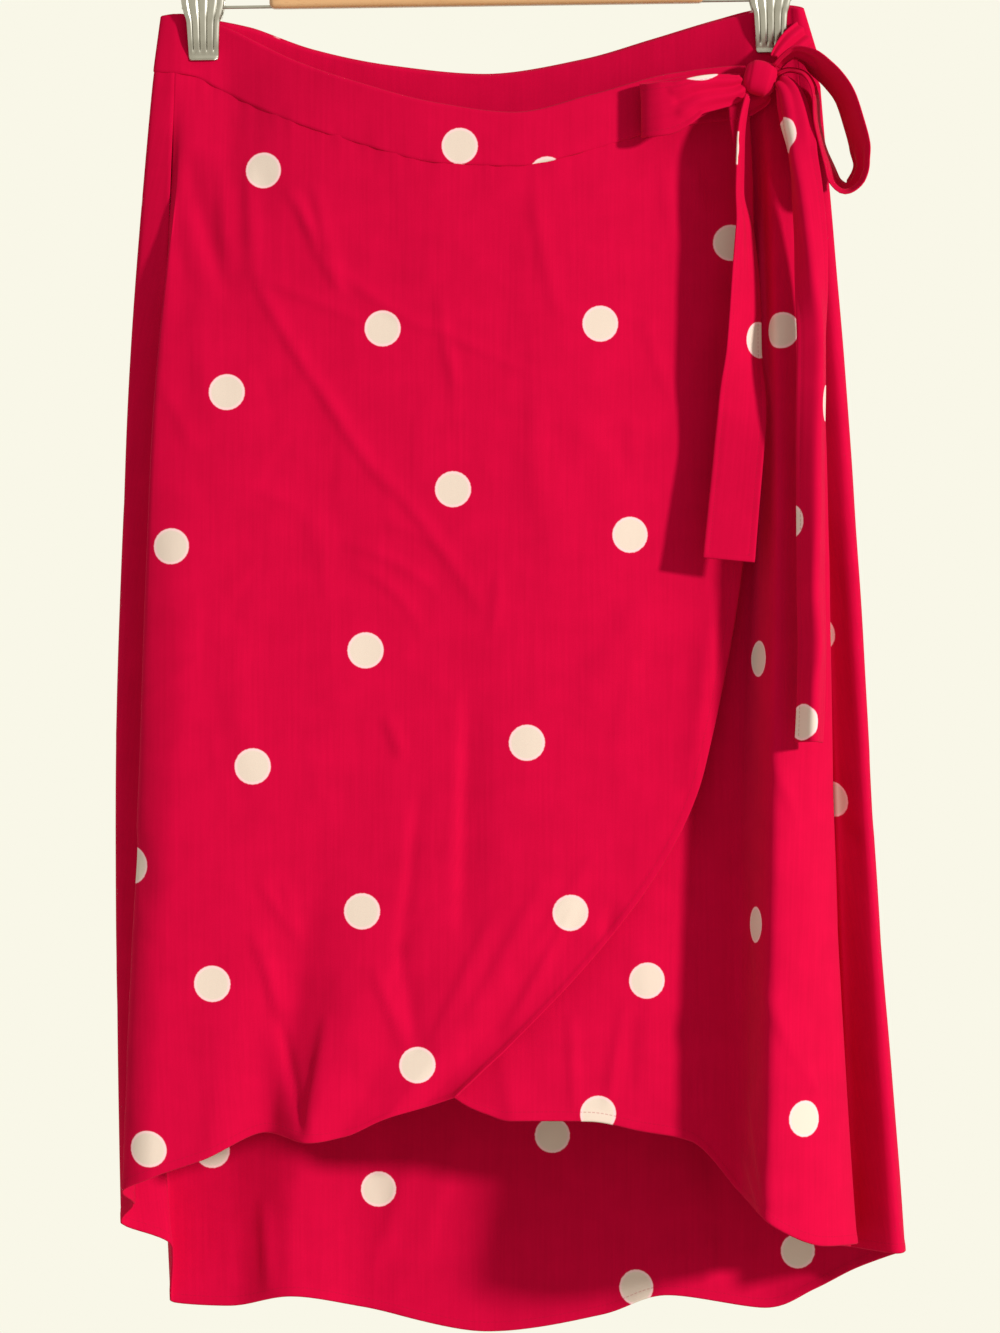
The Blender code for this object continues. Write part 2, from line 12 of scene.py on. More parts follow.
import bpy
import numpy as np
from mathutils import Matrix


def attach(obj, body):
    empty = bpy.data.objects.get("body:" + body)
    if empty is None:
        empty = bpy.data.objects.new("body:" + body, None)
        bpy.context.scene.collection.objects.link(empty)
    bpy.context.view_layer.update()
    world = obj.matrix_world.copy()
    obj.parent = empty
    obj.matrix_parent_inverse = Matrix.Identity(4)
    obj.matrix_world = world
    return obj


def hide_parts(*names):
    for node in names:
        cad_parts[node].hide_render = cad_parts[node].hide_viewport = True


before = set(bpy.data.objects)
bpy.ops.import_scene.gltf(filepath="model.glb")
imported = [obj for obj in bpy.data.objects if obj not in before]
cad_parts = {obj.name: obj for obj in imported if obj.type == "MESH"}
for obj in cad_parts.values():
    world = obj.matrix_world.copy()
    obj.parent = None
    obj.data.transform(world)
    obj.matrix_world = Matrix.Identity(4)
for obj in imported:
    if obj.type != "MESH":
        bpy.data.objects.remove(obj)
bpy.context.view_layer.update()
print("nodes in the frame:", len(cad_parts))

# %% [markdown]
# ## Places
#
# All sizes are in millimetres, as a maker would note them: x to the right, y to the back, and
# drop below the hanger's rod. One function turns them into Blender's metres. The hanger hangs
# slightly tilted, so that the cloth sits a little to the right of the hook.

# %% Millimetres to metres
MM = 0.001
ROD_Z = -117.8              # of the hanger's rod, below the rail that the hook hangs on
HANG_TILT = 0.8             # degrees, up at the right
CLOTH_SHIFT = -ROD_Z * math.sin(math.radians(HANG_TILT))


def placed(grid):
    """Points of (x, y, drop) in millimetres as (x + shift, y, rod height - drop) in metres."""
    grid = np.asarray(grid, float)
    return np.stack([grid[..., 0] + CLOTH_SHIFT, grid[..., 1], ROD_Z - grid[..., 2]], -1) * MM


print("the tilt moves the cloth by", round(CLOTH_SHIFT, 2), "mm")

# %% [markdown]
# ## The wall of cloth
#
# The skirt is one long strip that goes round the body: overlap, back and underlap. A cloth
# simulation would find folds of its own, so the folds that hang here are listed instead.
# The table walks along the strip and has a row for each fold: where it is at the waistband's top,
# at the seam below it, at hip and knee, and at the hem. A smooth curve through the rows gives every
# point between them, so neighbouring panels meet exactly at their seams. The curve is a monotone
# cubic: it never swings past the values it is given, so a fold can't cross its neighbour.

# %% The walk round the skirt
Row = namedtuple("Row", """name top_x top_y top_drop seam_x seam_y seam_drop
                           hip_x hip_y knee_x knee_y hem_x hem_y hem_drop""")
AROUND = [
    Row("free edge", 154.5, -8, 38.5, 157, -8, 70, 157.5, -10, 129.5, -25, -18, -48, 653),
    Row("trough by edge", 111, -13, 43.5, 111, -13, 74.5, 113, -16, 91.5, -31, -36.5, -44, 659),
    Row("right front", 61.5, -19, 57, 63, -19, 88.5, 65.5, -24, 47.5, -35, -61, -49, 666),
    Row("middle front", 16.5, -22, 67.5, 16.5, -22, 98.5, 17.5, -28, -0.5, -37, -84, -49, 676),
    Row("hem crest", -29, -22, 62, -29.5, -22, 96.5, -30, -29, -49, -38, -106, -53, 679.5),
    Row("hem trough", -74.5, -19, 50, -75.5, -19, 85, -76.5, -28, -96.5, -37, -131.5, -37, 674),
    Row("left front", -113, -12, 36.5, -117.5, -14, 71, -119.5, -27, -143, -38, -167, -44, 689.5),
    Row("under clip", -158.5, -1.9, 14, -156, -3, 53.5, -163.5, -26, -184.5, -38, -198.5, -44,
        700.5),
    Row("left crest", -172, -1.8, 10, -176.5, -2.3, 43, -200.5, -20, -208.5, -28, -217, -34, 710),
    Row("left seam", -184, -2.7, 7, -187, -2.8, 41.5, -195.5, -6, -201.5, -8, -211, -14, 718.5),
    Row("left side", -195, 0, 8, -199.5, 0, 40.5, -217, 4, -222, 4, -219.5, 4, 731),
    Row("left wing", -186, 2.6, 6.5, -189, 2.7, 40.5, -203, 16, -203, 22, -190, 26, 747.5),
    Row("left corner", -160, 1.8, 11, -162, 2.2, 42.5, -196, 30, -198, 44, -193, 58, 783),
    Row("back left", -142, 5, 14.5, -145.5, 6.5, 45, -158.5, 34, -159, 50, -156.5, 62, 786.5),
    Row("back trough", -103.5, 10, 27.5, -106.5, 12, 57.5, -113, 36, -113.5, 48, -119.5, 52, 780),
    Row("back wave", -58, 13, 36.5, -61, 14, 68, -64.5, 38, -68, 54, -74.5, 64, 787.5),
    Row("centre back", -1, 15, 41.5, -1, 15, 72.5, -4, 40, -5.5, 56, 0.5, 66, 802.5),
    Row("back swell", 57, 13, 33, 57, 14, 64.5, 59.5, 38, 62.5, 52, 69, 60, 792),
    Row("second trough", 98, 10, 21.5, 99.5, 11, 52.5, 108, 36, 112.5, 48, 110, 50, 779),
    Row("back right", 135.5, 6, 10.5, 137.5, 7, 41, 153, 34, 163, 50, 169.5, 60, 787.5),
    Row("right corner", 160, 0.9, 4.5, 162, 1.3, 36, 189.5, 28, 205, 40, 199.5, 54, 775.5),
    Row("right wing", 180.5, 0.9, 1.5, 182.5, 1.3, 32.5, 204.5, 20, 216.5, 30, 224.5, 34, 760.5),
    Row("right side", 189.5, -1.1, 3, 198.5, -1.3, 32.5, 218.5, 4, 233, 4, 251, 2, 748),
    Row("outer crest", 187, -3.2, 3.5, 191.5, -4, 33, 214, -6, 229, -10, 245, -15, 748),
    Row("right seam", 184.5, -2.4, 3, 186.5, -3, 33, 200, 0, 209, 2, 218.5, 4, 745.5),
    Row("pleat root", 182, -1.2, 3, 183.5, -1.8, 33, 195.5, -4, 201, -3, 210, -2, 744),
    Row("pleat edge", 178.5, -0.9, 3.5, 179.5, -1.5, 33.5, 203, -14, 207.5, -20, 221, -22, 741.5),
    Row("pleat face", 173, -0.9, 4, 173, -1.4, 35.5, 186.5, -28, 189.5, -44, 198.5, -56, 740),
    Row("pleat crest", 167, -0.9, 5, 166, -1.3, 37.5, 174.5, -32, 171, -54, 166, -72, 725),
    Row("pleat trough", 160, -0.9, 6, 158, -1, 40, 159, -4, 148.5, -12, 150, -28, 709.5),
    Row("flat right", 135.5, 3.4, 11.5, 137, 4, 42, 137, -4, 121.5, -11, 121.5, -24, 680),
    Row("flat middle", 98, 7.6, 22.5, 99.5, 8.4, 53.5, 103.5, -9, 91.5, -19, 91.5, -27, 674),
    Row("flat left", 56.5, 10.6, 34, 56.5, 11.6, 65.5, 61.5, -14, 55.5, -23, 61.5, -31, 668),
    Row("hidden middle", -1, 12.6, 42.5, -1, 12.6, 73.5, 14, -18, 8, -26, 32, -34, 667.5),
    Row("hidden left", -58, 10.6, 37.5, -61, 11.6, 69, -30, -18, -25, -26, 14, -36, 667.5),
    Row("hidden fall", -103.5, 7.6, 28.5, -106.5, 9.4, 58.5, -75, -18, -60, -26, 0, -36, 663.5),
    Row("hidden edge fall", -142, 2.8, 15.5, -145.5, 4.2, 46, -112, -18, -88, -26, -10, -36,
        659.5),
    Row("hidden by clip", -160, 0, 11.5, -162, 0.2, 43.5, -138, -16, -108, -26, -19, -36, 654),
    Row("hidden edge", -174, 0, 10, -172, 0, 42.5, -159.5, -14, -123, -26, -27.5, -36, 646.5),
]
WHERE = {row.name: place for place, row in enumerate(AROUND)}
print("rows in the walk:", len(AROUND))


# %% A smooth curve through a table
def smooth(values, places):
    """Values at fractional places along axis 0: on each stretch the cubic with the two ends and
    two slopes given, each slope the harmonic mean of the steps beside it, or 0 at a turn."""
    values = np.asarray(values, float)
    steps = np.diff(values, axis=0)
    before, after = steps[:-1], steps[1:]
    same_way = before * after > 0
    total = np.where(same_way, before + after, 1.0)
    inner = np.where(same_way, 2 * before * after / total, 0.0)
    first = np.where(steps[0] * (3 * steps[0] - steps[1]) > 0, (3 * steps[0] - steps[1]) / 2, 0)
    last = np.where(steps[-1] * (3 * steps[-1] - steps[-2]) > 0, (3 * steps[-1] - steps[-2]) / 2, 0)
    slopes = np.concatenate([first[None], inner, last[None]])
    places = np.clip(np.asarray(places, float), 0, len(values) - 1)
    low = np.minimum(places.astype(int), len(values) - 2)
    t = (places - low).reshape((-1,) + (1,) * (values.ndim - 1))
    return (
        values[low] * (1 - 3 * t**2 + 2 * t**3)
        + values[low + 1] * (3 * t**2 - 2 * t**3)
        + slopes[low] * (t - 2 * t**2 + t**3)
        + slopes[low + 1] * (t**3 - t**2)
    )


hem_drops = [row.hem_drop for row in AROUND]
print("hem drop between the first two rows:", round(float(smooth(hem_drops, [0.5])[0]), 1), "mm")

# %% [markdown]
# ## How fine the grid is
#
# A crease of a few millimetres needs a point every two or three millimetres, and a sewn hem one
# every millimetre. So the columns are spaced by the length of the cloth itself, and the rows and
# columns crowd together at the edges that are sewn.

# %% Even steps along the cloth
HEM_ZONE = 14.0             # millimetres at a sewn edge where the grid is fine
WALK_SAMPLES = 2000


def steps_along(length, coarse, at_start=False, at_end=False, fine=1.0):
    """Positions from 0 to length: every `coarse` millimetres, and every `fine` ones in the hem
    zone at the sewn ends."""
    low = HEM_ZONE if at_start else 0.0
    high = length - (HEM_ZONE if at_end else 0.0)
    parts = [np.arange(0, low, fine), np.linspace(low, high, round((high - low) / coarse) + 1),
             np.arange(high, length, fine)[1:], [length]]
    return np.unique(np.round(np.concatenate(parts), 6))


def places_along(first, last, coarse, sewn_start=False, sewn_end=False):
    """Column places from one named row to another, evenly spaced by the cloth's mean length
    round the hip, knee and hem."""
    dense = np.linspace(WHERE[first], WHERE[last], WALK_SAMPLES)
    level = smooth([[(r.hip_x, r.hip_y), (r.knee_x, r.knee_y), (r.hem_x, r.hem_y)]
                    for r in AROUND], dense)
    stretch = np.linalg.norm(np.diff(level, axis=0), axis=2).mean(axis=1)
    length = np.concatenate([[0], np.cumsum(stretch)])
    return np.interp(steps_along(length[-1], coarse, sewn_start, sewn_end), length, dense)


print("steps in 100 mm of cloth, one end sewn:", len(steps_along(100.0, 2.5, True)) - 1)

# %% The wall below the waistband
TUCKED_IN = 2.5             # millimetres of a panel that go up inside the waistband


def panel_points(places, coarse):
    """Each column falls from the waistband to its own hem. Level by level, x and y follow the
    smooth curve through seam, hip, knee and hem, at even shares of the drop."""
    level_x = smooth([(r.seam_x, r.hip_x, r.knee_x, r.hem_x) for r in AROUND], places)
    level_y = smooth([(r.seam_y, r.hip_y, r.knee_y, r.hem_y) for r in AROUND], places)
    ends = smooth([(r.seam_drop, r.hem_drop) for r in AROUND], places)
    mean = (ends[:, 1] - ends[:, 0]).mean()
    down = steps_along(mean + TUCKED_IN, coarse, at_end=True) / mean - TUCKED_IN / mean
    inside = np.clip(down, 0, 1)
    x, y = smooth(level_x.T, inside * 3), smooth(level_y.T, inside * 3)
    drop = ends[:, 0] + (ends[:, 1] - ends[:, 0]) * down[:, None]
    return np.stack([x, y, drop], axis=-1)


def band_points(places, rows=22):
    """The waistband: straight lines from its upper edge to its lower edge."""
    top = smooth([(r.top_x, r.top_y, r.top_drop) for r in AROUND], places)
    seam = smooth([(r.seam_x, r.seam_y, r.seam_drop) for r in AROUND], places)
    return top + (seam - top) * np.linspace(0, 1, rows)[:, None, None]


centre = AROUND[WHERE["middle front"]]
print("centre front, band and panel:", centre.seam_drop - centre.top_drop, "and",
      centre.hem_drop - centre.seam_drop, "mm")

# %% [markdown]
# ## Flat cloth
#
# The dots are printed and the threads woven before the skirt is cut, so they belong to the flat
# cloth. Each point of a panel gets its place there: u is the length of cloth sideways from a
# chosen column, and v is how far down it is. Folds then bend the dots as they do on the real one.

# %% Where a point is on the flat cloth
def flat_places(points, column):
    """u, v in millimetres. Along a row, u grows by the distance between neighbours, and is x at
    the chosen column. v is the drop."""
    step = np.linalg.norm(np.diff(points[..., :2], axis=1), axis=2)
    along = np.concatenate([np.zeros((len(points), 1)), np.cumsum(step, axis=1)], axis=1)
    along -= along[:, column:column + 1]
    way = np.sign(points[-1, -1, 0] - points[-1, 0, 0])
    u = points[:, column:column + 1, 0] + way * along
    return np.stack([u, points[..., 2]], axis=-1)


# %% [markdown]
# ## Polka dots
#
# The print is a plain scatter of 21 mm dots that repeats every 354 mm down the cloth. Each table is
# one repeat of it on one panel, as (u, v) of the dots' centres. A picture could hold the dots, but
# its edges blur when seen close. Instead the panel keeps, at each point, the distance to the
# nearest dot, and the shader colours the cloth by that distance: a true circle at any zoom.

# %% The print
DOT_REPEAT = 354.0
DOT_RADIUS = 10.5
NO_DOT = 60.0               # millimetres, where no dot is near
Dot = namedtuple("Dot", "u v drift slip", defaults=(0, 0))
DOTS = {
    "overlap": [Dot(-134, 101, -5, 2), Dot(-62, 196, -12, -7), Dot(-155, 234, -9, -2),
                Dot(68, 193, -18, -3), Dot(-20, 292, -21, -12), Dot(-188, 326, -18, 4),
                Dot(86, 319), Dot(-64, 35, -8, -1), Dot(35, 84.5, -11, 4.5), Dot(-206, 162, -8),
                Dot(147, 144)],
    "back": [Dot(-169, 338), Dot(-66, 8), Dot(40, 329), Dot(92, 67), Dot(192, 45),
             Dot(303, 23, -25), Dot(288, 123), Dot(-120, 220), Dot(0, 180), Dot(130, 200),
             Dot(-200, 120), Dot(210, 290), Dot(-125, 100)],
    "underlap": [Dot(95, 231), Dot(66, 310), Dot(172, 393), Dot(188, 197, -13), Dot(216, 311, 5),
                 Dot(10, 150), Dot(-60, 300), Dot(-120, 120)],
}


def dot_distance(flat, dots):
    """The least distance on the flat cloth to any dot of any repeat. The cloth hangs a little off
    its grain, so each copy further down is moved by drift sideways and slip downwards."""
    far = np.full(flat.shape[:-1], NO_DOT)
    for dot in dots:
        copy = np.round((flat[..., 1] - dot.v) / (DOT_REPEAT + dot.slip))
        copy = np.maximum(copy, 0)
        far = np.minimum(far, np.hypot(flat[..., 0] - dot.u - copy * dot.drift,
                                       flat[..., 1] - dot.v - copy * (DOT_REPEAT + dot.slip)))
    return far


print("dots in a repeat:", {name: len(dots) for name, dots in DOTS.items()})

# %% [markdown]
# ## A shell of cloth
#
# Cloth is thin but not a plane, so each piece is a closed shell: one layer half a thickness out,
# one half a thickness in, and a rounded rim between them. Blender's Solidify modifier could do
# this, but made here the thickness can differ from point to point, which gives a turned hem its
# step and its row of stitches their groove.

# %% Shell
def normals(points):
    """The direction across the sheet: along a row, crossed with down a column."""
    across = np.cross(np.gradient(points, axis=1), np.gradient(points, axis=0))
    return across / np.maximum(np.linalg.norm(across, axis=-1, keepdims=True), 1e-12)


def unit(vectors):
    """Each vector divided by its own length."""
    return vectors / np.maximum(np.linalg.norm(vectors, axis=-1, keepdims=True), 1e-12)


def round_the_edge(grid):
    """A grid's border, walked once round: top row, right column, bottom row, left column."""
    return np.concatenate([grid[0, :-1], grid[:-1, -1], grid[-1, :0:-1], grid[:0:-1, 0]])


def shell(name, points, thickness, **marks):
    """A closed sheet round a grid of points in metres: points + normal * half the thickness, the
    same with a minus, and a rim pushed out by half the thickness in the sheet's own plane."""
    rows, columns = points.shape[:2]
    half = np.broadcast_to(np.asarray(thickness, float) * MM / 2, (rows, columns))[..., None]
    out = normals(points)
    away = np.zeros_like(points)
    away[0] -= unit(np.gradient(points, axis=0)[0])
    away[-1] += unit(np.gradient(points, axis=0)[-1])
    away[:, 0] -= unit(np.gradient(points, axis=1)[:, 0])
    away[:, -1] += unit(np.gradient(points, axis=1)[:, -1])
    rim = round_the_edge(points + unit(away) * half)
    everything = np.concatenate([(points + out * half).reshape(-1, 3),
                                 (points - out * half).reshape(-1, 3), rim])
    number = np.arange(rows * columns).reshape(rows, columns)
    quads = np.stack([number[:-1, :-1], number[:-1, 1:], number[1:, 1:], number[1:, :-1]], -1)
    quads = quads.reshape(-1, 4)
    layer = rows * columns
    edge = round_the_edge(number)
    following = np.roll(edge, -1)
    ring = 2 * layer + np.arange(len(edge))
    ring_next = np.roll(ring, -1)
    faces = np.concatenate([
        quads, quads[:, ::-1] + layer,
        np.stack([edge, ring, ring_next, following], -1),
        np.stack([edge + layer, following + layer, ring_next, ring], -1)])
    carried = {key: np.concatenate([value.reshape(layer, -1), value.reshape(layer, -1),
                                    round_the_edge(value).reshape(len(edge), -1)])
               for key, value in marks.items()}
    return mesh_object(name, everything, faces, carried)


def mesh_object(name, points, faces, marks=None):
    """A mesh from arrays of points and faces, with a named value for each point."""
    mesh = bpy.data.meshes.new(name)
    mesh.from_pydata(points, [], faces.tolist() if hasattr(faces, "tolist") else faces)
    for key, value in (marks or {}).items():
        value = np.asarray(value, np.float32)
        kind = "FLOAT" if value.shape[1] == 1 else "FLOAT_VECTOR"
        made = mesh.attributes.new(key, kind, "POINT")
        made.data.foreach_set("value" if kind == "FLOAT" else "vector", value.ravel())
    mesh.shade_smooth()
    thing = bpy.data.objects.new(name, mesh)
    bpy.context.scene.collection.objects.link(thing)
    return thing


# %% [markdown]
# ## Creases
#
# Cloth that hangs from two clips is never even: it pulls in long slanting lines, and it keeps the
# lines of how it was folded before. They could be sculpted by hand, but a table can be read and
# changed. Each row is one ridge, or a trough where the height is below zero, from one place on the
# flat cloth to another. The profile across it is a soft hump, steeper on its left, and it dies away
# towards both ends. Fainter ones, which no eye would chart, are strewn by chance.

# %% Press a crease into a panel
Crease = namedtuple("Crease", "u v to_u to_v width height bow softer", defaults=(0, 1.6))
FADE_POWER = 0.6            # below 1, a crease keeps its height for most of its length


def lifted(points, lift):
    """Points of (x, y, drop) moved along their normals by `lift` millimetres."""
    return points + normals(points * (1, 1, -1)) * (1, 1, -1) * lift[..., None]


def crease_lift(flat, creases):
    """The sum over the creases of height * exp(-(distance / width) squared), times a fade that
    is 0 at both ends. The line bends sideways by `bow`, and its right side is `softer` times as
    wide as its left."""
    lift = np.zeros(flat.shape[:2])
    for c in creases:
        run = np.array([c.to_u - c.u, c.to_v - c.v], float)
        length = np.hypot(*run)
        run /= length
        aside = flat - (c.u, c.v)
        s = (aside @ run) / length
        distance = aside @ np.array([-run[1], run[0]]) - c.bow * 4 * s * (1 - s)
        fade = np.sin(np.pi * np.clip(s, 0, 1)) ** FADE_POWER
        wide = np.where(distance > 0, c.width, c.width * c.softer)
        lift += c.height * fade * np.exp(-((distance / wide) ** 2))
    return lift


SMALL_COUNT = 70            # faint creases on a panel
SMALL_SLANT = 0.55          # radians from upright, as a spread
SMALL_LENGTH, SMALL_WIDTH, SMALL_HEIGHT, SMALL_BOW = (22, 75), (2.6, 4.4), (0.15, 0.42), (-4, 4)


def small_creases(flat, seed):
    """Short faint creases strewn by chance, most of them near upright, as wear leaves them."""
    chance = np.random.default_rng(seed)
    low, high = flat.reshape(-1, 2).min(0), flat.reshape(-1, 2).max(0)
    strewn = []
    for _ in range(SMALL_COUNT):
        u, v = chance.uniform(low, high)
        slant = chance.normal(0, SMALL_SLANT)
        length = chance.uniform(*SMALL_LENGTH)
        width = chance.uniform(*SMALL_WIDTH)
        height = chance.choice([-1, 1]) * chance.uniform(*SMALL_HEIGHT)
        strewn.append(Crease(u, v, u + length * math.sin(slant), v + length * math.cos(slant),
                             width, height, chance.uniform(*SMALL_BOW)))
    return strewn


# %% [markdown]
# ## Hems
#
# A narrow hem is turned twice and sewn near its inner fold. There the cloth is three layers
# thick, and the stitches pull a fine groove along it. The layers could be folded one by one, but
# nothing of them shows, so the shell is only made as thick as they are.

# %% Thickness of a hemmed sheet
CLOTH_THICK = 0.55
HEM_THICK = 1.3
HEM_WIDE = 6.0
HEM_STEP = 0.5              # millimetres over which the hem's inner fold thins out
STITCHED_AT = 5.0           # millimetres in from the edge
GROOVE_DEEP, GROOVE_WIDE = 0.45, 0.9


def hemmed(distance):
    """Cloth thickness by the distance from the sewn edge: thick as far as the hem is wide, with
    a soft step, less a narrow groove at the stitches."""
    step = 0.5 - 0.5 * np.tanh((distance - HEM_WIDE) / HEM_STEP)
    groove = GROOVE_DEEP * np.exp(-(((distance - STITCHED_AT) / GROOVE_WIDE) ** 2))
    return CLOTH_THICK + (HEM_THICK - CLOTH_THICK) * step - groove


print("thickness at the edge, the stitches and inside:",
      hemmed(np.array([0.0, STITCHED_AT, 2 * HEM_WIDE])).round(2), "mm")

# %% [markdown]
# ## The three panels
#
# The overlap lies on top, from its curved free edge to the left side seam. The back is longer and
# its hem shows below the front. The underlap starts at the right side seam with a pleat and runs
# behind the overlap to a hidden edge. Each is a grid of points from the walk, lifted by its creases
# and closed to a shell, so that the three share one method and their seams fit.

# %% Drag lines and folds, charted on the flat cloth
CREASES = {
    "overlap": [
        Crease(-141, 161, -84, 254, 2.8, 1.36, 3, 1.8),    # long drag line, in three
        Crease(-101, 230, -53, 299, 2.8, 1.27, 2, 1.8),
        Crease(-67, 278, -1, 369, 2.8, 1.19, -3, 1.8),
        Crease(-112, 118, -84, 176, 2.8, 1.02, 4, 1.6),
        Crease(-137, 165, -71, 194, 2.6, 0.77, 0, 1.6),    # by the dots
        Crease(-91, 159, -27, 201, 2.6, 0.85, 3, 1.6),
        Crease(-40, 192, 26, 223, 2.6, 0.85, 0, 1.6),
        Crease(-28, 174, -17, 234, 2.6, 1.02, 3, 1.6),
        Crease(-21, 206, -19, 254, 2.6, 0.68, 0, 1.6),
        Crease(27, 96, 43, 190, 3.2, 1.1, 3, 1.6),    # from the band
        Crease(-180, 88, -151, 179, 6, -2.2, 4, 1.3),    # under the clip
        Crease(-160, 97, -156, 172, 3.4, 1.19, 0, 1.8),
        Crease(-144, 95, -140, 167, 3.4, 1.43, 0, 1.8),
        Crease(-120, 111, -100, 146, 3, 1.19, 0, 1.6),
        Crease(-104, 107, -89, 173, 3.4, 1.36, 0, 1.6),
        Crease(-190, 72, -182, 196, 7, -1.7, 0, 1.3),
        Crease(-195, 229, -175, 267, 3, 0.85, 0, 1.6),
        Crease(-174, 179, -163, 251, 5, 0.7, 3, 1.6),
        Crease(-86, 325, -25, 359, 2.6, 0.94, -6, 1.6),    # arcs
        Crease(-81, 337, -37, 382, 2.6, 0.85, -7, 1.6),
        Crease(-60, 313, -21, 334, 2.6, 0.68, -3, 1.6),
        Crease(8, 338, 3, 380, 2.8, 1.02, 0, 1.6),
        Crease(-104, 301, -93, 362, 6, 1.1, 0, 1.4),
        Crease(99, 349, 59, 420, 10, 2, 0, 1.4),    # soft, right
        Crease(95, 192, 109, 238, 2.6, 0.94, 0, 1.6),
        Crease(75, 187, 104, 191, 2.6, 0.68, 0, 1.4),
        Crease(86, 245, 89, 286, 2.8, 0.68, 0, 1.4),
        Crease(27, 182, 30, 310, 5, 0.7, 0, 1.4),
        Crease(-148, 289, -108, 304, 2.8, 0.68, 0, 1.4),
        Crease(122, 94, 131, 128, 3.4, 1.36, 0, 1.4),    # by the bow
        Crease(106, 98, 111, 143, 3.2, 1.02, 0, 1.4),
        Crease(138, 349, 122, 474, 7, 2.4, 0, 0.8),    # along the free edge
        Crease(92, 370, 75, 453, 4, 0.6, 0, 1.4),
        Crease(-12, 411, -16, 560, 3, -2.86, 0, 4),    # fold line, low
        Crease(-40, 468, -54, 591, 3.4, -1.56, 0, 1.6),
        Crease(-60, 426, -50, 453, 3.2, 1.53, 0, 1.6),
        Crease(-68, 575, -48, 626, 3, 1.36, 0, 1.6),
        Crease(-52, 563, -41, 627, 3, -1.19, 0, 1.6),
        Crease(5, 542, -33, 625, 4, 1.2, 0, 1.8),    # rays from the hem
        Crease(35, 523, -9, 606, 4.4, 1.2, 0, 1.8),
        Crease(68, 504, 23, 574, 4.4, 1, 0, 1.8),
        Crease(54, 537, 12, 615, 3.4, 1.36, 0, 1.5),
        Crease(-141, 554, -124, 614, 3, 1.95, -2, 2.4),    # left of the notch
        Crease(-136, 525, -114, 559, 2.8, 1.19, 0, 1.5),
        Crease(-121, 525, -112, 563, 2.8, 0.85, 0, 1.5),
        Crease(-129, 608, -121, 677, 9, 2.8, 0, 1.2),    # the notch in the hem
        Crease(-127, 600, -109, 677, 3, -1.69, 0, 1.2),
        Crease(-95, 603, -108, 677, 3, 1.69, 0, 2),
        Crease(-209, 495, -203, 545, 8, -1.8, 0, 1.4),
        Crease(76, 537, 70, 562, 4, -1.6, 0, 1.4),    # by the free edge
        Crease(-153, 358, -134, 489, 9, 1.2, 4, 1.4),    # soft, left
        Crease(20, 251, 44, 334, 11, 1.1, 0, 1.4),    # soft, middle
        Crease(68, 239, 92, 298, 9, -1, 0, 1.4),
        Crease(-189, 310, -182, 418, 9, 0.9, 0, 1.4),
    ],
    "back": [
        Crease(-44, 690, -73, 774, 3.6, -1, 0, 2.5),    # inside, slanting
        Crease(-11, 690, -39, 780, 6, 1.2, 0, 2),
        Crease(-113, 707, -111, 781, 6, 1.1, 0, 1.3),
        Crease(-138, 720, -135, 780, 3.4, -1.53, 0, 1.3),
        Crease(23, 696, 16, 792, 8, -0.9, 0, 1.3),
        Crease(133, 739, 136, 777, 4, -1.2, 0, 1.3),    # ripples of the hem
        Crease(116, 742, 104, 778, 4, -0.9, 0, 1.3),
        Crease(162, 749, 163, 782, 4, -0.9, 0, 1.3),
        Crease(69, 732, 66, 790, 6, -0.8, 0, 1.3),
        Crease(-150, 60, -118, 210, 6, 1.2, 4),    # outside, under the clips
        Crease(-120, 70, -60, 260, 5, 0.8, -5),
        Crease(150, 60, 128, 220, 6, 1.2, -4),
        Crease(118, 75, 70, 240, 5, 0.7, 5),
        Crease(30, 120, 70, 190, 4, 0.5),
        Crease(-20, 180, -80, 230, 4, 0.5, 3),
        Crease(-40, 300, -70, 520, 9, 1, 6),    # outside, long soft ones
        Crease(60, 280, 95, 560, 10, 1.1, -8),
        Crease(0, 420, 10, 700, 8, 0.9),
        Crease(-180, 350, -200, 640, 7, 0.9, 3),
        Crease(190, 330, 215, 650, 7, 0.9, -3),
        Crease(-100, 560, -60, 740, 6, 1.1),
        Crease(120, 600, 150, 770, 6, 1),
        Crease(-240, 300, -250, 600, 8, 1),
        Crease(245, 200, 255, 560, 8, 1),
    ],
    "underlap": [
        Crease(189, 443, 211, 492, 3, 1.36, 0, 1.6),    # on the crest
        Crease(188, 583, 215, 632, 3.4, 1.53, 0, 1.6),
        Crease(210, 625, 238, 659, 3.2, 1.19, 0, 1.6),
        Crease(163, 648, 201, 719, 4, 1.3, 0, 1.6),
        Crease(151, 684, 191, 719, 3.4, 1.43, 0, 1.6),
        Crease(205, 646, 256, 646, 2.8, 0.85, 0, 1.4),
        Crease(213, 489, 223, 572, 6, 1, 0, 1.5),
        Crease(226, 583, 235, 667, 5, -0.9, 0, 1.5),
        Crease(81, 599, 71, 663, 3.4, 1.43, 0, 1.5),    # on the flat part
        Crease(49, 602, 52, 666, 3, 1.19, 0, 1.5),
        Crease(97, 597, 91, 650, 5, 0.7, 0, 1.5),
        Crease(262, 470, 272, 560, 7, 0.9),    # on the outer fold
        Crease(250, 300, 256, 420, 6, 0.6),
        Crease(20, 300, -10, 560, 7, 0.9),    # behind the overlap
        Crease(-20, 150, -60, 420, 6, 0.8, 5),
        Crease(-90, 120, -70, 380, 5, 0.7),
        Crease(60, 350, 75, 600, 6, 0.7),
    ],
}
print("creases charted:", {name: len(rows) for name, rows in CREASES.items()})

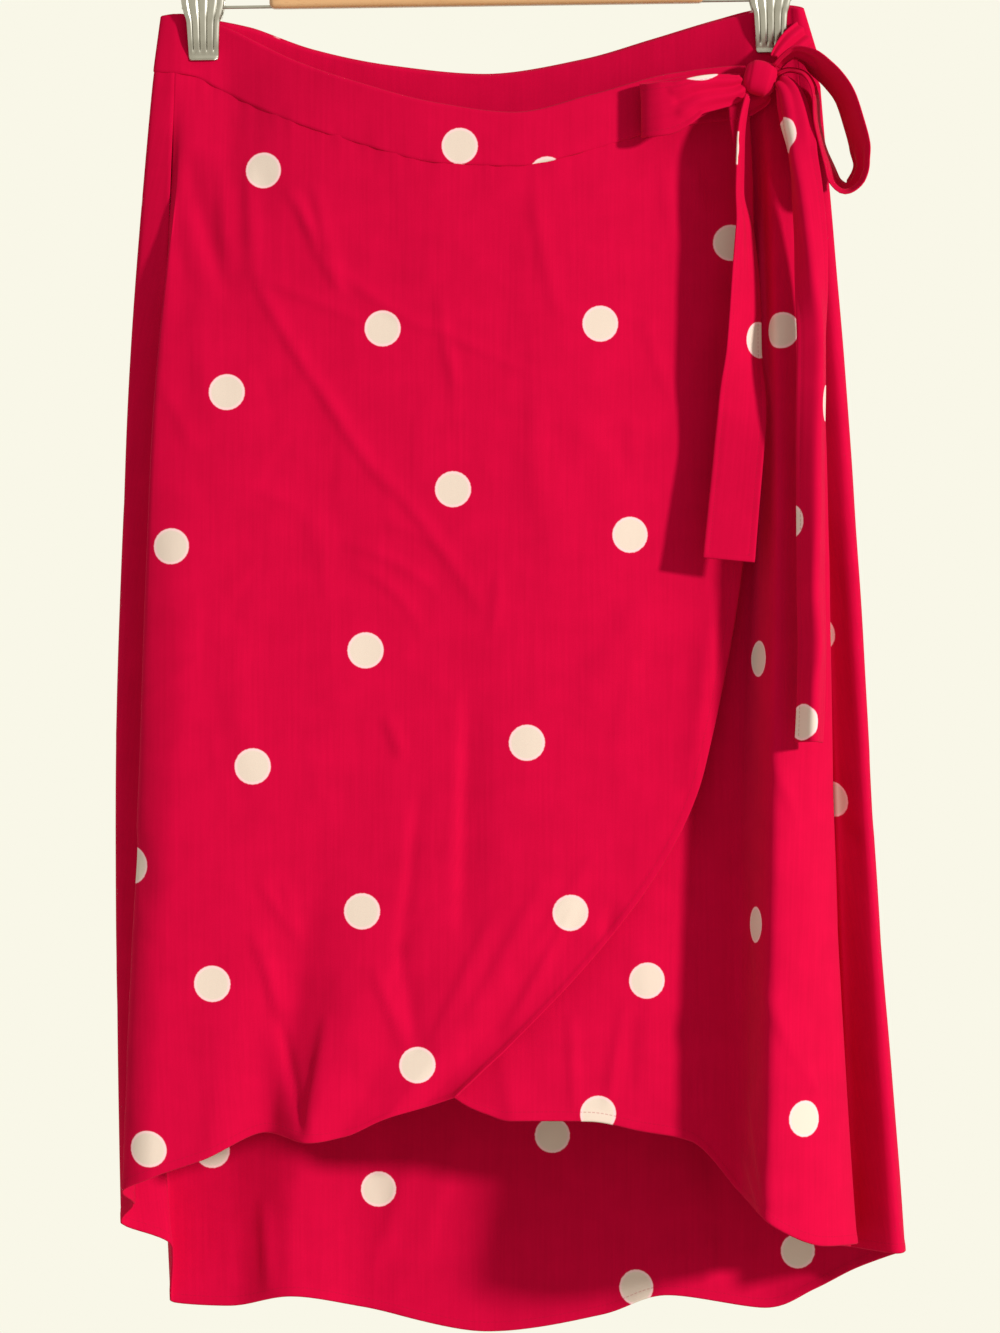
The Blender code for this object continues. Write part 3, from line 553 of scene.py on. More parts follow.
# %% Which part of the walk each panel takes
Panel = namedtuple("Panel", "first last line start_sewn end_sewn column_mm row_mm")
PANELS = {
    "overlap": Panel("free edge", "left seam", "middle front", True, False, 2.3, 2.6),
    "back": Panel("left seam", "right seam", "centre back", False, False, 3.0, 3.3),
    "underlap": Panel("right seam", "hidden edge", "flat right", False, True, 2.7, 2.9),
}
SWELLS_MM = (150, 95, 62, 41, 27)
SWELL_HIGH = 0.35           # millimetres, of the longest swell
SWELL_TURN, SWELL_UPRIGHT = 0.7, 0.45    # radians of slant, and how far swells stretch downwards
PUCKER_HIGH, PUCKER_FADE = 0.16, 9.0


def uneven(flat, seed):
    """Slow swells, a millimetre or less: sines of different slant and length added up, each as
    high as it is long."""
    chance = np.random.default_rng(seed)
    total = np.zeros(flat.shape[:2])
    for length in SWELLS_MM:
        turn, phase = chance.uniform(-SWELL_TURN, SWELL_TURN), chance.uniform(0, 6.28)
        across = flat[..., 0] * np.cos(turn) + flat[..., 1] * np.sin(turn) * SWELL_UPRIGHT
        total += np.sin(across * 2 * np.pi / length + phase) * length / SWELLS_MM[0]
    return total * SWELL_HIGH


def puckers(flat, start, seed):
    """Tiny gathers just below the waistband's seam: three sines along it, dying away within a
    finger's width."""
    below = flat[..., 1] - start
    wave = (np.sin(flat[..., 0] / 1.45 + seed) + np.sin(flat[..., 0] / 2.3 + 2 * seed)
            + 1.3 * np.sin(flat[..., 0] / 5.1))
    return PUCKER_HIGH * wave * np.exp(-np.clip(below, 0, None) / PUCKER_FADE) * (below > 0)


# %% Make a panel
def sewn_edge(flat, points, start_sewn, end_sewn):
    """Distance in millimetres from the nearest sewn edge, and the length run along it."""
    down = np.linalg.norm(np.diff(points, axis=0), axis=2)
    up = np.concatenate([np.cumsum(down[::-1], axis=0)[::-1], np.zeros((1, points.shape[1]))])
    over = np.linalg.norm(np.diff(points, axis=1), axis=2)
    along = np.concatenate([np.zeros((len(points), 1)), np.cumsum(over, axis=1)], axis=1)
    distance, run = up, flat[..., 0]
    for sewn, side in ((start_sewn, along), (end_sewn, along[:, -1:] - along)):
        if sewn:
            run = np.where(side < distance, flat[..., 1], run)
            distance = np.minimum(distance, side)
    return distance, run


FREE_BELOW = 25.0           # millimetres below the seam where creases reach their full height
SWELLS_BELOW = 60.0


def make_panel(name):
    """The walk's points, lifted by swells, creases and puckers, as a hemmed shell with its dots."""
    panel = PANELS[name]
    places = places_along(panel.first, panel.last, panel.column_mm, panel.start_sewn,
                          panel.end_sewn)
    points = panel_points(places, panel.row_mm)
    column = int(np.argmin(abs(places - WHERE[panel.line])))
    flat = flat_places(points, column)
    distance, run = sewn_edge(flat, points, panel.start_sewn, panel.end_sewn)
    start = points[0, :, 2] + TUCKED_IN
    creases = CREASES[name] + small_creases(flat, len(name))
    free = np.clip((flat[..., 1] - start) / FREE_BELOW, 0, 1)
    lift = uneven(flat, len(name)) * np.clip((flat[..., 1] - start) / SWELLS_BELOW, 0, 1)
    lift += crease_lift(flat, creases) * free + puckers(flat, start, len(name))
    points = lifted(points, lift)
    thing = shell(name + "_cloth", placed(points), hemmed(distance),
                  dot=dot_distance(flat, DOTS[name])[..., None], hem=distance[..., None],
                  run=run[..., None], thread=np.dstack([flat, np.zeros(flat.shape[:2])]))
    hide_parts(name + "_panel")
    print(name, "grid", points.shape[:2], "widest",
          round(float(np.ptp(flat[..., 0], axis=1).max())), "mm")
    print(name, "triangles", 2 * len(thing.data.polygons))
    return thing, points, flat


panels = {name: make_panel(name) for name in PANELS}

# %% [markdown]
# ## The waistband
#
# A stiffened strip, folded along its upper edge and sewn to the panels at its lower one, in the
# same three lengths. It is thicker than the cloth and has no hem. It hangs almost straight, so
# straight lines from edge to edge are enough, with a slight ripple where it is sewn on.

# %% Make the waistband
BAND_THICK = 1.7
BAND_COLUMN_MM = 2.6
RIPPLES = ((0.25, 6.1), (0.2, 2.7))    # height, and millimetres for each radian
RIPPLE_FADE = 5.0           # millimetres above the seam
NO_EDGE = 99.0              # a distance to a sewn edge or dot that is never reached
BANDS = {
    "overlap": ("free edge", "left wing", [Dot(-16, 87), Dot(36, 104), Dot(40, 48)]),
    "back": ("left wing", "right wing", [Dot(-130, 30), Dot(10, 56), Dot(165, 14)]),
    "underlap": ("right wing", "hidden edge", [Dot(20, 84)]),
}


def make_band(name):
    """Straight from top to seam, with two sines along it that fade above the seam."""
    first, last, dots = BANDS[name]
    places = places_along(first, last, BAND_COLUMN_MM)
    points = band_points(places)
    column = int(np.argmin(abs(points[0, :, 0])))
    flat = flat_places(points, column)
    distance = np.linalg.norm(points - points[-1], axis=2)
    wave = sum(high * np.sin(flat[..., 0] / radian) for high, radian in RIPPLES)
    points = lifted(points, wave * np.exp(-distance / RIPPLE_FADE))
    thing = shell("waistband_" + name + "_cloth", placed(points), BAND_THICK,
                  dot=dot_distance(flat, dots)[..., None],
                  hem=np.full(distance.shape + (1,), NO_EDGE), run=flat[..., :1],
                  thread=np.dstack([flat, np.zeros(flat.shape[:2])]))
    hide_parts("waistband_" + name)
    return thing, points, flat


bands = {name: make_band(name) for name in BANDS}
print("waistband lengths:", {name: round(float(np.ptp(made[2][0, :, 0])))
                             for name, made in bands.items()}, "mm")

# %% [markdown]
# ## Ties and bow
#
# Each tie is a strip 29 mm wide, sewn double. A Blender curve with a flat bevel could follow its
# path, but would keep it as stiff as a steel tape. Here the strip follows a path too, but rolls
# about it by `turn`, and may be folded lengthways by `fold`. Where it runs into the knot it gets
# narrow, and as the cloth can't shrink, it goes into pleats along its length.

# %% The bends of each tie
Bend = namedtuple("Bend", "name x y drop turn fold width")
TIES = {
    "tail_front": [
        Bend("under the knot", 155.5, -24.5, 58, 80, 0, 11),
        Bend("edge on", 151.5, -27, 84, 80, 0, 25),
        Bend("edge on, low", 151, -26, 113.5, 79, 0, 28),
        Bend("opening", 154, -26, 137.5, 67, 0, 28.5),
        Bend("half open", 154.5, -27, 174.5, 52, 0, 29),
        Bend("open", 153.5, -28, 209.5, 43, 0, 29),
        Bend("full width", 152.5, -30.5, 242.5, 13, 0, 29),
        Bend("flat", 150, -33, 271.5, 0, 0, 29),
        Bend("flat, low", 146.5, -37, 307.5, 0, 0, 29.5),
        Bend("end", 144, -41, 334, 0, 0, 30),
    ],
    "tail_side": [
        Bend("beside the knot", 174, -26, 48.5, 35, 60, 10),
        Bend("over the top", 179.5, -32, 56.5, 30, 80, 20),
        Bend("turning down", 181.5, -36, 74, 20, 90, 27),
        Bend("down", 182, -38, 90.5, 12, 100, 29),
        Bend("facing right", 186.5, -41, 114.5, 28, 105, 29),
        Bend("turning", 190, -43, 138.5, 38, 105, 29),
        Bend("turning left", 194, -46, 168.5, 58, 105, 29),
        Bend("facing left", 198, -49, 201, 82, 105, 29),
        Bend("facing left, low", 197.5, -51, 228, 80, 105, 29),
        Bend("easing", 196, -54, 269.5, 77, 113, 29),
        Bend("easing, low", 195.5, -58, 311, 75, 116, 29),
        Bend("half way", 194, -62, 352.5, 70, 121, 29),
        Bend("kink", 196, -64, 385, 76, 117, 29),
        Bend("below the kink", 193.5, -66, 411.5, 68, 122, 29),
        Bend("end", 193, -68, 441.5, 72, 120, 29),
    ],
    "bow_loop_right": [
        Bend("out of the knot", 173.6, -22, 39.5, -60, 0, 9),
        Bend("rising", 179, -24, 34, -70, 0, 15),
        Bend("top", 184, -25, 31.5, -74, 0, 20),
        Bend("over", 190.5, -25.5, 33.5, -72, 0, 25),
        Bend("falling", 198, -26, 39.5, -68, 0, 29),
        Bend("falling, mid", 206.5, -26, 47.5, -68, 0, 29),
        Bend("outer", 213.5, -26, 57.5, -69, 0, 29),
        Bend("outer, low", 218.5, -26, 72, -69, 0, 29),
        Bend("low", 222.5, -26, 87.5, -69, 0, 29),
        Bend("twist", 223.5, -26, 98, -74, 0, 28),
        Bend("bottom", 220, -26, 108, -72, 0, 28),
        Bend("bottom turn", 213.5, -25, 112, -72, 0, 28),
        Bend("turning up", 208, -24, 108, -72, 0, 28),
        Bend("rising strand", 204.5, -23, 98.5, -76, 0, 29),
        Bend("rising strand, mid", 200, -22, 85, -80, 0, 29),
        Bend("rising strand, high", 197, -22, 70.5, -80, 0, 29),
        Bend("high", 196.5, -22, 58, -80, 0, 29),
        Bend("bending back", 193.5, -22, 48.5, -80, 0, 25),
        Bend("back", 188, -21, 43, -80, 0, 18),
        Bend("into the knot", 181, -20, 41.5, -80, 0, 11),
        Bend("end", 173.7, -20, 43.7, -75, 0, 8),
    ],
    "bow_loop_left": [
        Bend("out of the knot", 153.6, -23, 50, 0, 0, 12),
        Bend("spreading", 147, -26, 53.5, 0, 0, 17),
        Bend("notch", 135.5, -30, 55.5, 0, 0, 20.5),
        Bend("below the notch", 125, -33, 58, 0, 0, 22),
        Bend("wide", 115.5, -34, 62.5, 0, 0, 27),
        Bend("full", 105.5, -34, 65.5, 0, 0, 31),
        Bend("end, front", 97, -32, 66.5, 0, 0, 31),
        Bend("end", 92.5, -27.3, 66.5, 0, 0, 31),
        Bend("end, back", 97, -22.6, 65, 0, 0, 31),
        Bend("back", 106, -20.5, 63, 0, 0, 30),
        Bend("back, mid", 121.5, -19, 58, 0, 0, 26),
        Bend("back, near", 138, -17.5, 53, 0, 0, 18),
        Bend("into the knot", 153, -16.5, 49, 0, 0, 11),
    ],
    "tie_from_side": [
        Bend("sewn on", 190.5, -5.2, 17.5, 0, 0, 15),
        Bend("folding", 184.5, -9.4, 22.5, 0, 0, 15),
        Bend("gathered", 177.8, -13, 29, 0, 0, 12),
        Bend("into the knot", 173.2, -16.5, 34.5, 0, 0, 8),
    ],
    "tie_from_band": [
        Bend("band end", 156.6, -8.3, 54, 0, 0, 28.6),
        Bend("narrowing", 161.8, -9.7, 53.5, 0, 0, 22),
        Bend("behind the knot", 166, -11.7, 51, 0, 0, 17),
    ],
}
UPRIGHT = ("bow_loop_left", "tie_from_band")    # these keep their width vertical
print("bends:", {name: len(bends) for name, bends in TIES.items()})

# %% A strip along its bends
TIE_WIDE = 29.0
TIE_THICK = 1.0
FOLD_SOFTNESS = 2.2
MOST_PLEAT = 1.1            # millimetres that a pleat stands up at most
TIE_STEP_MM = 1.6
TIE_COLUMNS = 28
PATH_SAMPLES = 1500
PLEATS = 2.0
PLEAT_PHASE = 0.6           # radians, so that the pleats aren't even about the middle


def tie_rows(bends):
    """The bends' values every few millimetres of path, on the smooth curve through them."""
    table = np.array([bend[1:] for bend in bends], float)
    dense = smooth(table, np.linspace(0, len(table) - 1, PATH_SAMPLES))
    length = np.cumsum(np.linalg.norm(np.diff(dense[:, :3], axis=0), axis=1))
    length = np.concatenate([[0], length])
    count = round(length[-1] / TIE_STEP_MM)
    even = np.linspace(0, length[-1], count + 1)
    share = np.interp(even, length, np.linspace(0, 1, PATH_SAMPLES))
    return smooth(table, share * (len(table) - 1)), even


def tie_frame(rows, upright):
    """The path, and the directions across it and out of it at each row."""
    path = rows[:, :3] * (1, 1, -1)
    along = unit(np.gradient(path, axis=0))
    if upright:
        across = np.tile([0.0, 0.0, 1.0], (len(rows), 1))
    else:
        across = np.stack([-along[:, 2], np.zeros(len(rows)), along[:, 0]], axis=1)
    across = unit(across - (across * along).sum(1)[:, None] * along)
    depth = np.cross(along, across)
    return path, across, depth * np.where(depth[:, 1] < 0, -1.0, 1.0)[:, None]


def tie_points(name):
    """At each row the strip's section turns from `turn` on its right half to `turn - fold` on its
    left half, added up step by step from the middle. Pleats are a sine across the section, of the
    height that keeps the cloth's own width."""
    rows, length = tie_rows(TIES[name])
    path, across, depth = tie_frame(rows, name in UPRIGHT)
    share = np.linspace(-0.5, 0.5, TIE_COLUMNS + 1)
    width = rows[:, 5:6]
    reach = share[None, :] * width
    turn, fold = np.radians(rows[:, 3:4]), np.radians(rows[:, 4:5])
    angle = turn - fold * (0.5 - 0.5 * np.tanh(reach / FOLD_SOFTNESS))
    step = np.diff(reach, axis=1)
    middle = (angle[:, 1:] + angle[:, :-1]) / 2
    none = np.zeros((len(rows), 1))
    side = np.hstack([none, np.cumsum(np.cos(middle) * step, axis=1)])
    back = np.hstack([none, np.cumsum(np.sin(middle) * step, axis=1)])
    half = TIE_COLUMNS // 2
    side -= side[:, half:half + 1]
    back -= back[:, half:half + 1]
    narrow = np.clip(width / TIE_WIDE, 0.25, 1.0)
    height = np.sqrt(2 * (1 / narrow**2 - 1)) * width / (2 * np.pi * PLEATS)
    height = np.minimum(height, MOST_PLEAT)
    phase = 2 * np.pi * PLEATS * share[None, :] + PLEAT_PHASE
    wave = height * np.sin(phase) * (1 - (2 * share) ** 4)
    side, back = side - np.sin(angle) * wave, back + np.cos(angle) * wave
    grid = path[:, None] + side[..., None] * across[:, None] + back[..., None] * depth[:, None]
    grid[..., 2] *= -1
    flat = np.dstack([np.broadcast_to(share * TIE_WIDE, side.shape),
                      np.broadcast_to(length[:, None], side.shape)])
    return grid, flat


# %% Make the ties
TIE_DOTS = {
    "tail_front": [Dot(-20, 32), Dot(12, 145)],
    "tail_side": [Dot(-8, 36, 0, -1), Dot(14.5, 198), Dot(-20, 269)],
    "bow_loop_right": [],
    "bow_loop_left": [Dot(21.5, 25)],
    "tie_from_side": [],
    "tie_from_band": [],
}
FREE_END = ("tail_front", "tail_side")
TIE_HEM = 3.0               # the tie's edge stitch, in from its edges
TIE_GROOVE_DEEP, TIE_GROOVE_WIDE = 0.35, 0.8


def make_tie(name):
    """The strip's points as a shell, with a groove and a row of stitches inside its edges."""
    points, flat = tie_points(name)
    distance = TIE_WIDE / 2 - abs(flat[..., 0])
    if name in FREE_END:
        distance = np.minimum(distance, flat[-1:, :, 1] - flat[..., 1])
    groove = TIE_GROOVE_DEEP * np.exp(-(((distance - TIE_HEM) / TIE_GROOVE_WIDE) ** 2))
    thing = shell(name + "_cloth", placed(points), TIE_THICK - groove,
                  dot=dot_distance(flat, TIE_DOTS[name])[..., None],
                  hem=(distance + STITCHED_AT - TIE_HEM)[..., None], run=flat[..., 1:],
                  thread=np.dstack([flat, np.zeros(flat.shape[:2])]))
    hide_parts(name)
    print(name, "length", round(float(flat[-1, 0, 1])), "mm")
    return thing, points, flat


ties = {name: make_tie(name) for name in TIES}

# %% [markdown]
# ## The knot
#
# The tie from the side wraps once round everything and is pulled tight. That makes a short fat
# roll, almost square from the front, with the strip's own edge showing as a lip near each end. What
# is inside can't be seen, so only the outside of the roll is made, as rings round its length.

# %% Make the knot
KNOT_MIDDLE = (163.3, -20.0, 46.5)
KNOT_HALF = (9.8, 8.2, 10.4)
KNOT_LEAN = 14.0            # degrees, down at the right
KNOT_RINGS, KNOT_AROUND = 59, 80
BARREL, SQUARENESS = 3.4, 2.7    # powers: 2 is round, and more is squarer
LIP_AT, LIP_HIGH = 0.62, 0.075    # shares of the half length and of the radius


def closed_surface(name, rows, first_pole, last_pole, **marks):
    """A mesh round rings of points, each closed on itself, with one point at each end and a fan
    of triangles round it."""
    count, size = rows.shape[:2]
    number = np.arange(count * size).reshape(count, size)
    turned = np.roll(number, -1, axis=1)
    quads = np.stack([number[:-1], number[1:], turned[1:], turned[:-1]], -1).reshape(-1, 4)
    points = np.concatenate([rows.reshape(-1, 3), [first_pole], [last_pole]])
    first, last = np.full(size, count * size), np.full(size, count * size + 1)
    fans = np.concatenate([np.stack([first, number[0], turned[0]], -1),
                           np.stack([last, turned[-1], number[-1]], -1)])
    carried = {key: np.concatenate([value.reshape(count * size, -1), value[0, :1], value[-1, :1]])
               for key, value in marks.items()}
    return mesh_object(name, points, quads.tolist() + fans.tolist(), carried)


def make_knot():
    """Rings round a roll. s runs from -1 to 1 along it and turn goes round it. The radius is the
    BARREL-th root of 1 - |s|^BARREL, less a small step at the lip and plus one slow swell. Round
    the roll the same rule with SQUARENESS squares the section a little. The whole is then leant."""
    s = np.sin(np.linspace(-1, 1, KNOT_RINGS + 2)[1:-1] * np.pi / 2)[:, None]
    turn = np.linspace(0, 2 * np.pi, KNOT_AROUND, endpoint=False)[None, :]
    radius = (1 - abs(s) ** BARREL) ** (1 / BARREL)
    edge = LIP_AT + 0.06 * np.sin(turn + 0.4)
    folds = (1 - LIP_HIGH / (1 + np.exp((edge - abs(s)) * 34))
             + 0.018 * np.sin(3.1 * s + 0.8 * np.sin(turn) + 0.7) * (1 - abs(s) ** 3))
    squared = (abs(np.cos(turn)) ** SQUARENESS + abs(np.sin(turn)) ** SQUARENESS) ** (
        -1 / SQUARENESS)
    x = KNOT_HALF[0] * s + 0 * turn
    y = KNOT_HALF[1] * radius * folds * squared * np.cos(turn)
    z = KNOT_HALF[2] * radius * folds * squared * np.sin(turn)
    lean = math.radians(KNOT_LEAN)
    rows = np.dstack([x * math.cos(lean) + z * math.sin(lean), y,
                      x * math.sin(lean) - z * math.cos(lean)]) + KNOT_MIDDLE
    ends = [np.array([way * KNOT_HALF[0] * math.cos(lean), 0, way * KNOT_HALF[0] * math.sin(lean)])
            + KNOT_MIDDLE for way in (-1, 1)]
    flat = np.dstack([s * 10 + 0 * turn, turn * 9 + 0 * s, 0 * s * turn])
    far = np.full(x.shape + (1,), NO_EDGE)
    thing = closed_surface("bow_knot_cloth", placed(rows), placed(ends[0]), placed(ends[1]),
                           dot=far, hem=far, run=far, thread=flat)
    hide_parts("bow_knot")
    return thing


knot = make_knot()
print("knot faces:", len(knot.data.polygons))

# %% [markdown]
# ## The hanger
#
# A beech bar, a wire hook, and at each end a rod with a spring clip. All the wire is one kind of
# piece: a round section carried along a path, with domed ends. Blender's curves can do that too,
# but leave their ends flat.

# %% Wire along a path
tilt = math.radians(HANG_TILT)
TILT = np.array([[math.cos(tilt), 0, -math.sin(tilt)], [0, 1, 0],
                 [math.sin(tilt), 0, math.cos(tilt)]])


def hung(points):
    """Hanger points, in millimetres from the rail with z up, turned by the tilt, in metres."""
    return np.asarray(points, float) @ TILT.T * MM


def wire(name, path, radius, sides=20, dome=5):
    """A round section at each point of the path, square to it, with the ends closed by domes."""
    path = np.asarray(path, float)
    along = unit(np.gradient(path, axis=0))
    quarter = np.linspace(0, np.pi / 2, dome + 1)[1:-1]
    start = [path[0] - along[0] * radius * np.cos(a) for a in quarter]
    end = [path[-1] + along[-1] * radius * np.cos(a) for a in quarter[::-1]]
    line = np.concatenate([start, path, end])
    way = np.concatenate([[along[0]] * len(start), along, [along[-1]] * len(end)])
    size = np.concatenate([radius * np.sin(quarter), np.full(len(path), radius),
                           radius * np.sin(quarter[::-1])])
    side = unit(np.cross(way, [0.0, 1.0, 0.0]) + 1e-9)
    up = np.cross(side, way)
    turn = np.linspace(0, 2 * np.pi, sides, endpoint=False)
    rings = line[:, None] + size[:, None, None] * (
        np.cos(turn)[None, :, None] * side[:, None] + np.sin(turn)[None, :, None] * up[:, None])
    return closed_surface(name, hung(rings), hung(path[0] - along[0] * radius),
                          hung(path[-1] + along[-1] * radius))


# %% The hook
BAR_TOP = 84.0              # below the rail
HOOK_WIRE = 1.8             # radius
HOOK_INNER = 20.0
HOOK_FROM, HOOK_TO = -35, 240    # degrees round the rail
HOOK_IN_BAR = 11.5


def hook_path():
    """Three quarters of a circle over the rail, then a soft bend down into the bar."""
    radius = HOOK_INNER + HOOK_WIRE
    turn = np.radians(np.linspace(HOOK_FROM, HOOK_TO, 90))
    arc = np.stack([radius * np.cos(turn), 0 * turn, -HOOK_INNER + radius * np.sin(turn)], 1)
    neck = [(-4.5, 0, -44.0), (-1.0, 0, -49.5), (0.0, 0, -56.0), (0.0, 0, -BAR_TOP - HOOK_IN_BAR)]
    neck = smooth(np.vstack([arc[-1], neck]), np.linspace(0, 4, 60)[1:])
    return np.vstack([arc, neck])


hook = wire("hook_wire", hook_path(), HOOK_WIRE)
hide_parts("hanger_hook")
hanger_pieces = {"hook": hook}
print("hook wire faces:", len(hook.data.polygons))

# %% Rods and springs
BAR_LENGTH = 260.5
ROD_RADIUS = 1.0
ROD_IN_BAR = 13.6
ROD_PAST_CLIP = 12.0
CLIP_OFFSET = 170.0         # of each clip's middle from the hook
SPRING_RADIUS = 3.6
SPRING_LENGTH = 15.0
SPRING_WIRE = 0.72          # radius
SPRING_PITCH = 1.04         # in wire thicknesses: the coil is wound almost shut


def rod_path(way):
    """A straight line from inside the bar to a little past the clip."""
    x = np.linspace(way * (BAR_LENGTH / 2 - ROD_IN_BAR), way * (CLIP_OFFSET + ROD_PAST_CLIP), 24)
    return np.stack([x, 0 * x, 0 * x + ROD_Z], 1)


def spring_path(way):
    """A helix along the rod: a circle round it while x moves on by one pitch a turn."""
    turns = (SPRING_LENGTH - 2 * SPRING_WIRE) / (2 * SPRING_WIRE * SPRING_PITCH)
    turn = np.linspace(0, 2 * np.pi * turns, round(turns * 30))
    coil = SPRING_RADIUS - SPRING_WIRE
    x = way * CLIP_OFFSET + np.linspace(-1, 1, len(turn)) * (SPRING_LENGTH / 2 - SPRING_WIRE)
    return np.stack([x, coil * np.cos(turn), ROD_Z + coil * np.sin(turn)], 1)


for side, way in (("left", -1), ("right", 1)):
    rod = wire(f"rod_{side}_wire", rod_path(way), ROD_RADIUS)
    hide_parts(f"hanger_rod_{side}")
    spring = wire(f"spring_{side}_wire", spring_path(way), SPRING_WIRE, sides=10)
    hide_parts(f"clip_spring_{side}")
    hanger_pieces[f"rod_{side}"], hanger_pieces[f"spring_{side}"] = rod, spring
print("wire pieces:", len(hanger_pieces))

# %% [markdown]
# ### The beech bar
#
# A planed lath with its edges rounded over. A cube with a Bevel modifier would look much the same.
# Here the rounded section is carried along the bar, so that the ends can be rounded by the same
# quarter circle as the long edges.

# %% Make the bar
BAR_HEIGHT = 35.2
BAR_THICKNESS = 12.0
BAR_ROUNDING = 3.5
LEAST_CORNER = 0.4


def rounded_section(width, height, corner, corner_points=8):
    """Rectangles with quarter circles for corners, one for each width given, walked once round,
    as y and z."""
    width, height, corner = (value[:, None] for value in (width, height, corner))
    arcs = []
    for number, (sy, sz) in enumerate(((1, 1), (-1, 1), (-1, -1), (1, -1))):
        turn = np.radians(90 * number + np.linspace(0, 90, corner_points))
        arcs.append(np.stack([sy * (width / 2 - corner) + corner * np.cos(turn),
                              sz * (height / 2 - corner) + corner * np.sin(turn)], axis=-1))
    return np.concatenate(arcs, axis=1)


def make_bar():
    """The section is carried along x and shrinks by a quarter circle over the last millimetres."""
    half = BAR_LENGTH / 2
    at_end = half - BAR_ROUNDING * (1 - np.sin(np.linspace(0, np.pi / 2, 9)[1:]))
    between = np.linspace(-half + BAR_ROUNDING, half - BAR_ROUNDING, 60)[1:-1]
    x = np.sort(np.concatenate([-at_end, between, at_end]))
    into = np.clip(BAR_ROUNDING - (half - abs(x)), 0, BAR_ROUNDING)
    less = BAR_ROUNDING - np.sqrt(BAR_ROUNDING**2 - into**2)
    outline = rounded_section(BAR_THICKNESS - 2 * less, BAR_HEIGHT - 2 * less,
                              np.maximum(BAR_ROUNDING - less, LEAST_CORNER))
    middle = -(BAR_TOP + BAR_HEIGHT / 2)
    rings = np.dstack([np.broadcast_to(x[:, None], outline.shape[:2]), outline])
    rings[..., 2] += middle
    thing = closed_surface("beech_bar", hung(rings), hung((x[0], 0, middle)),
                           hung((x[-1], 0, middle)))
    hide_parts("hanger_bar")
    return thing


hanger_pieces["bar"] = make_bar()
print("bar faces:", len(hanger_pieces["bar"].data.polygons))

# %% [markdown]
# ### The clips
#
# Each clip is two plates pressed from sheet steel, with four grooves down the face that stiffen
# them. Above the rod they splay out as finger grips, and below it they close on the waistband. A
# plate is a grid like the cloth, so the same shell gives it its thickness and its rounded edges.

# %% The clip plates
Plate = namedtuple("Plate", "drop half_width reach")
PLATE = [
    Plate(-20.0, 11.0, 13.0),
    Plate(-12.0, 12.5, 9.0),
    Plate(-4.0, 12.5, 5.6),
    Plate(4.0, 11.0, 5.2),
    Plate(9.0, 9.6, 4.6),
    Plate(20.0, 9.0, 3.0),
    Plate(29.5, 8.6, 0.0),
    Plate(31.5, 7.8, 0.5),
]
CLIP_HOLDS = {"left": 1.8, "right": 0.9}    # from the clip's middle to the cloth in its jaws
CLIP_PLAY = 1.5
PLATE_WALL = 1.0
PLATE_OFF = 0.55 + 0.6      # half the solid plate's wall, and its height above its grooves
GROOVES = (-0.69, -0.23, 0.23, 0.69)    # across the plate, as shares of its half width
PRESSED_DEEP, PRESSED_WIDE = 0.85, 0.075    # millimetres, and a share of the half width
PRESSED_FROM, PRESSED_TO = -7.0, 26.5    # drops between which the grooves run
ROLLED_BACK = 0.9


def make_plate(side, way, face, towards):
    """The plate's outline and reach follow the table; grooves are narrow troughs down its face,
    and its long edges roll back a little."""
    down = np.linspace(0, len(PLATE) - 1, 90)
    drop, half_width, reach = smooth([tuple(row) for row in PLATE], down).T
    across = np.linspace(-1, 1, 61)
    starts = 1 / (1 + np.exp(-(drop - PRESSED_FROM) * 1.2))
    fade = starts / (1 + np.exp((drop - PRESSED_TO) * 2.2))
    trough = sum(np.exp(-(((across - place) / PRESSED_WIDE) ** 2)) for place in GROOVES)
    rolled = ROLLED_BACK * abs(across) ** 8
    out = (CLIP_HOLDS[side] + CLIP_PLAY + PLATE_OFF + reach[:, None]
           - PRESSED_DEEP * trough * fade[:, None] - rolled)
    x = way * CLIP_OFFSET + across[None, :] * half_width[:, None]
    grid = np.dstack([x, towards * out, ROD_Z - drop[:, None] + 0 * x])
    thing = shell(f"clip_{side}_{face}_plate", hung(grid), PLATE_WALL)
    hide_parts(f"clip_{side}_{face}")
    return thing


for side, way in (("left", -1), ("right", 1)):
    for face, towards in (("front", -1), ("back", 1)):
        hanger_pieces[f"clip_{side}_{face}"] = make_plate(side, way, face, towards)
print("hanger pieces:", len(hanger_pieces))

# %% [markdown]
# ## Materials
#
# Colours are noted as the hex values that a screen shows, and one function turns them into the
# linear numbers that a shader works with. Another small function adds a node.

# %% Colour and node helpers
def linear(hex_colour):
    """sRGB hex to linear red, green, blue, 1: c / 12.92 below 0.04045, else a 2.4 power."""
    parts = np.array([int(hex_colour[i:i + 2], 16) for i in (1, 3, 5)]) / 255
    return (*np.where(parts <= 0.04045, parts / 12.92, ((parts + 0.055) / 1.055) ** 2.4), 1.0)


print("middle grey in linear:", round(float(linear("#808080")[0]), 3))


def add(tree, kind, inputs=None, **settings):
    """Adds one node; inputs are numbers, colours or the sockets to link from."""
    made = tree.nodes.new(kind)
    for key, value in settings.items():
        setattr(made, key, value)
    for key, value in (inputs or {}).items():
        if isinstance(value, bpy.types.NodeSocket):
            tree.links.new(value, made.inputs[key])
        else:
            made.inputs[key].default_value = value
    return made


def material(name, **numbers):
    """A material with a Principled shader, its own sockets set to the numbers given."""
    made = bpy.data.materials.new(name)
    made.use_nodes = True
    shader = made.node_tree.nodes["Principled BSDF"]
    for key, value in numbers.items():
        shader.inputs[key.replace("_", " ")].default_value = value
    return made, made.node_tree, shader


